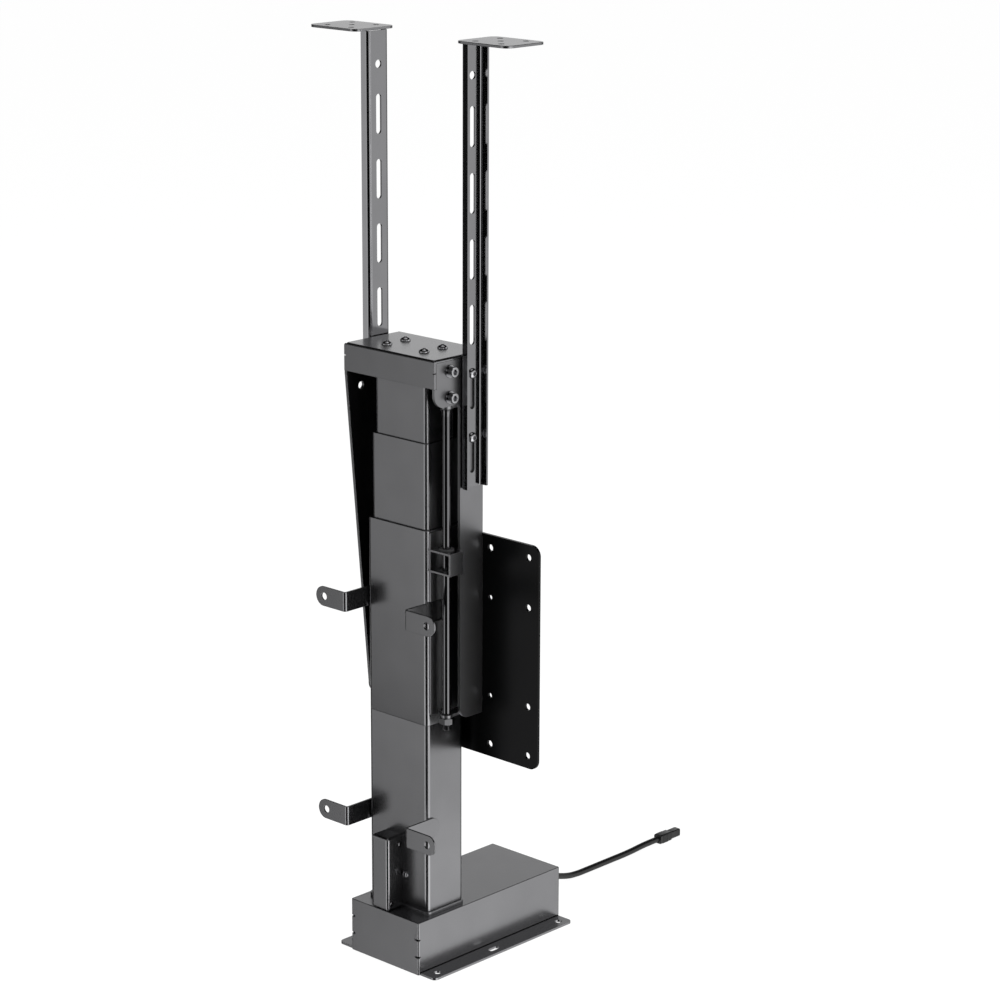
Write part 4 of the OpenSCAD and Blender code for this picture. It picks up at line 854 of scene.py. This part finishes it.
def floor_material():
    """White emission mixed with the shading's share of diffuse to camera rays; diffuse alone to the rest."""
    material = bpy.data.materials.new("studio_floor")
    material.use_nodes = True
    tree, links = material.node_tree.nodes, material.node_tree.links
    tree.remove(tree["Principled BSDF"])
    path = tree.new("ShaderNodeLightPath")
    plain = tree.new("ShaderNodeBsdfDiffuse")
    plain.inputs["Color"].default_value = (FLOOR_TONE, FLOOR_TONE, FLOOR_TONE, 1)
    white = tree.new("ShaderNodeEmission")
    white.inputs["Strength"].default_value = FLOOR_WHITE
    seen = tree.new("ShaderNodeMixShader")
    seen.inputs[0].default_value = SHADING_SHARE
    links.new(white.outputs[0], seen.inputs[1])
    links.new(plain.outputs[0], seen.inputs[2])
    to_camera = tree.new("ShaderNodeMixShader")
    links.new(path.outputs["Is Camera Ray"], to_camera.inputs[0])
    links.new(plain.outputs[0], to_camera.inputs[1])
    links.new(seen.outputs[0], to_camera.inputs[2])
    links.new(to_camera.outputs[0], tree["Material Output"].inputs["Surface"])
    return material


def studio_world():
    """Ring of light to glossy and transmitted rays, white to the camera, a level grey to the others."""
    world = bpy.data.worlds.new("studio")
    world.use_nodes = True
    tree, links = world.node_tree.nodes, world.node_tree.links
    path = tree.new("ShaderNodeLightPath")
    mirrored = math_node(tree, links, "MAXIMUM", path.outputs["Is Glossy Ray"],
                         path.outputs["Is Transmission Ray"])
    ring = ring_of_light(tree, links, tree.new("ShaderNodeTexCoord").outputs["Generated"])
    level = tree.new("ShaderNodeMix")
    level.data_type = "RGBA"
    level.inputs["A"].default_value = (WORLD_LEVEL, WORLD_LEVEL, WORLD_LEVEL, 1)
    level.inputs["B"].default_value = (1, 1, 1, 1)
    links.new(path.outputs["Is Camera Ray"], level.inputs["Factor"])
    mix = tree.new("ShaderNodeMix")
    mix.data_type = "RGBA"
    links.new(mirrored, mix.inputs["Factor"])
    links.new(level.outputs["Result"], mix.inputs["A"])
    links.new(ring, mix.inputs["B"])
    links.new(mix.outputs["Result"], tree["Background"].inputs["Color"])
    return world


floor_x, floor_y = np.meshgrid([-FLOOR_HALF, FLOOR_HALF], [-FLOOR_HALF, FLOOR_HALF], indexing="ij")
floor_grid = np.stack([floor_x, floor_y, np.full((2, 2), FLOOR_Z)], -1)
floor_mesh = bpy.data.meshes.new("floor")
floor_mesh.from_pydata(floor_grid.reshape(-1, 3).tolist(), [], grid_faces(2, 2).tolist())
floor = bpy.data.objects.new("floor", floor_mesh)
floor.data.materials.append(floor_material())
floor.visible_glossy = False
floor.visible_transmission = False
bpy.context.scene.collection.objects.link(floor)
bpy.context.scene.world = studio_world()
print("floor", 2 * FLOOR_HALF, "m wide")

# %% [markdown]
# Three soft lamps, right, left and above, give the rough surfaces and the floor's
# shadow their direction. Mirrors don't see them: the ring stands for them there.
# %% Lamps
LAMPS = (("lamp_right", (-2.6, -0.6, 1.8), 0.4, 1.6, 60), ("lamp_left", (0.8, 2.6, 1.6), 0.4, 1.6, 25),
         ("lamp_top", (0.1, -0.2, 3.0), 0.3, 2.0, 45))


def soft_lamp(name, place, aim_height, size, watts):
    """Square area lamp at place, facing the column's axis at a height: its +Z is the unit vector away."""
    data = bpy.data.lights.new(name, "AREA")
    data.size = size
    data.energy = watts
    lamp = bpy.data.objects.new(name, data)
    away = np.asarray(place, float) - [0, 0, aim_height]
    away /= np.linalg.norm(away)
    side = np.cross([0, 0, 1.0], away)
    side /= np.linalg.norm(side)
    seat = np.eye(4)
    seat[:3, 0], seat[:3, 1], seat[:3, 2], seat[:3, 3] = side, np.cross(away, side), away, place
    lamp.matrix_world = seat.T.tolist()
    lamp.visible_glossy = False
    bpy.context.scene.collection.objects.link(lamp)


for lamp_values in LAMPS:
    soft_lamp(*lamp_values)
bpy.context.scene.view_settings.view_transform = "Standard"
print("lamps", len(LAMPS))
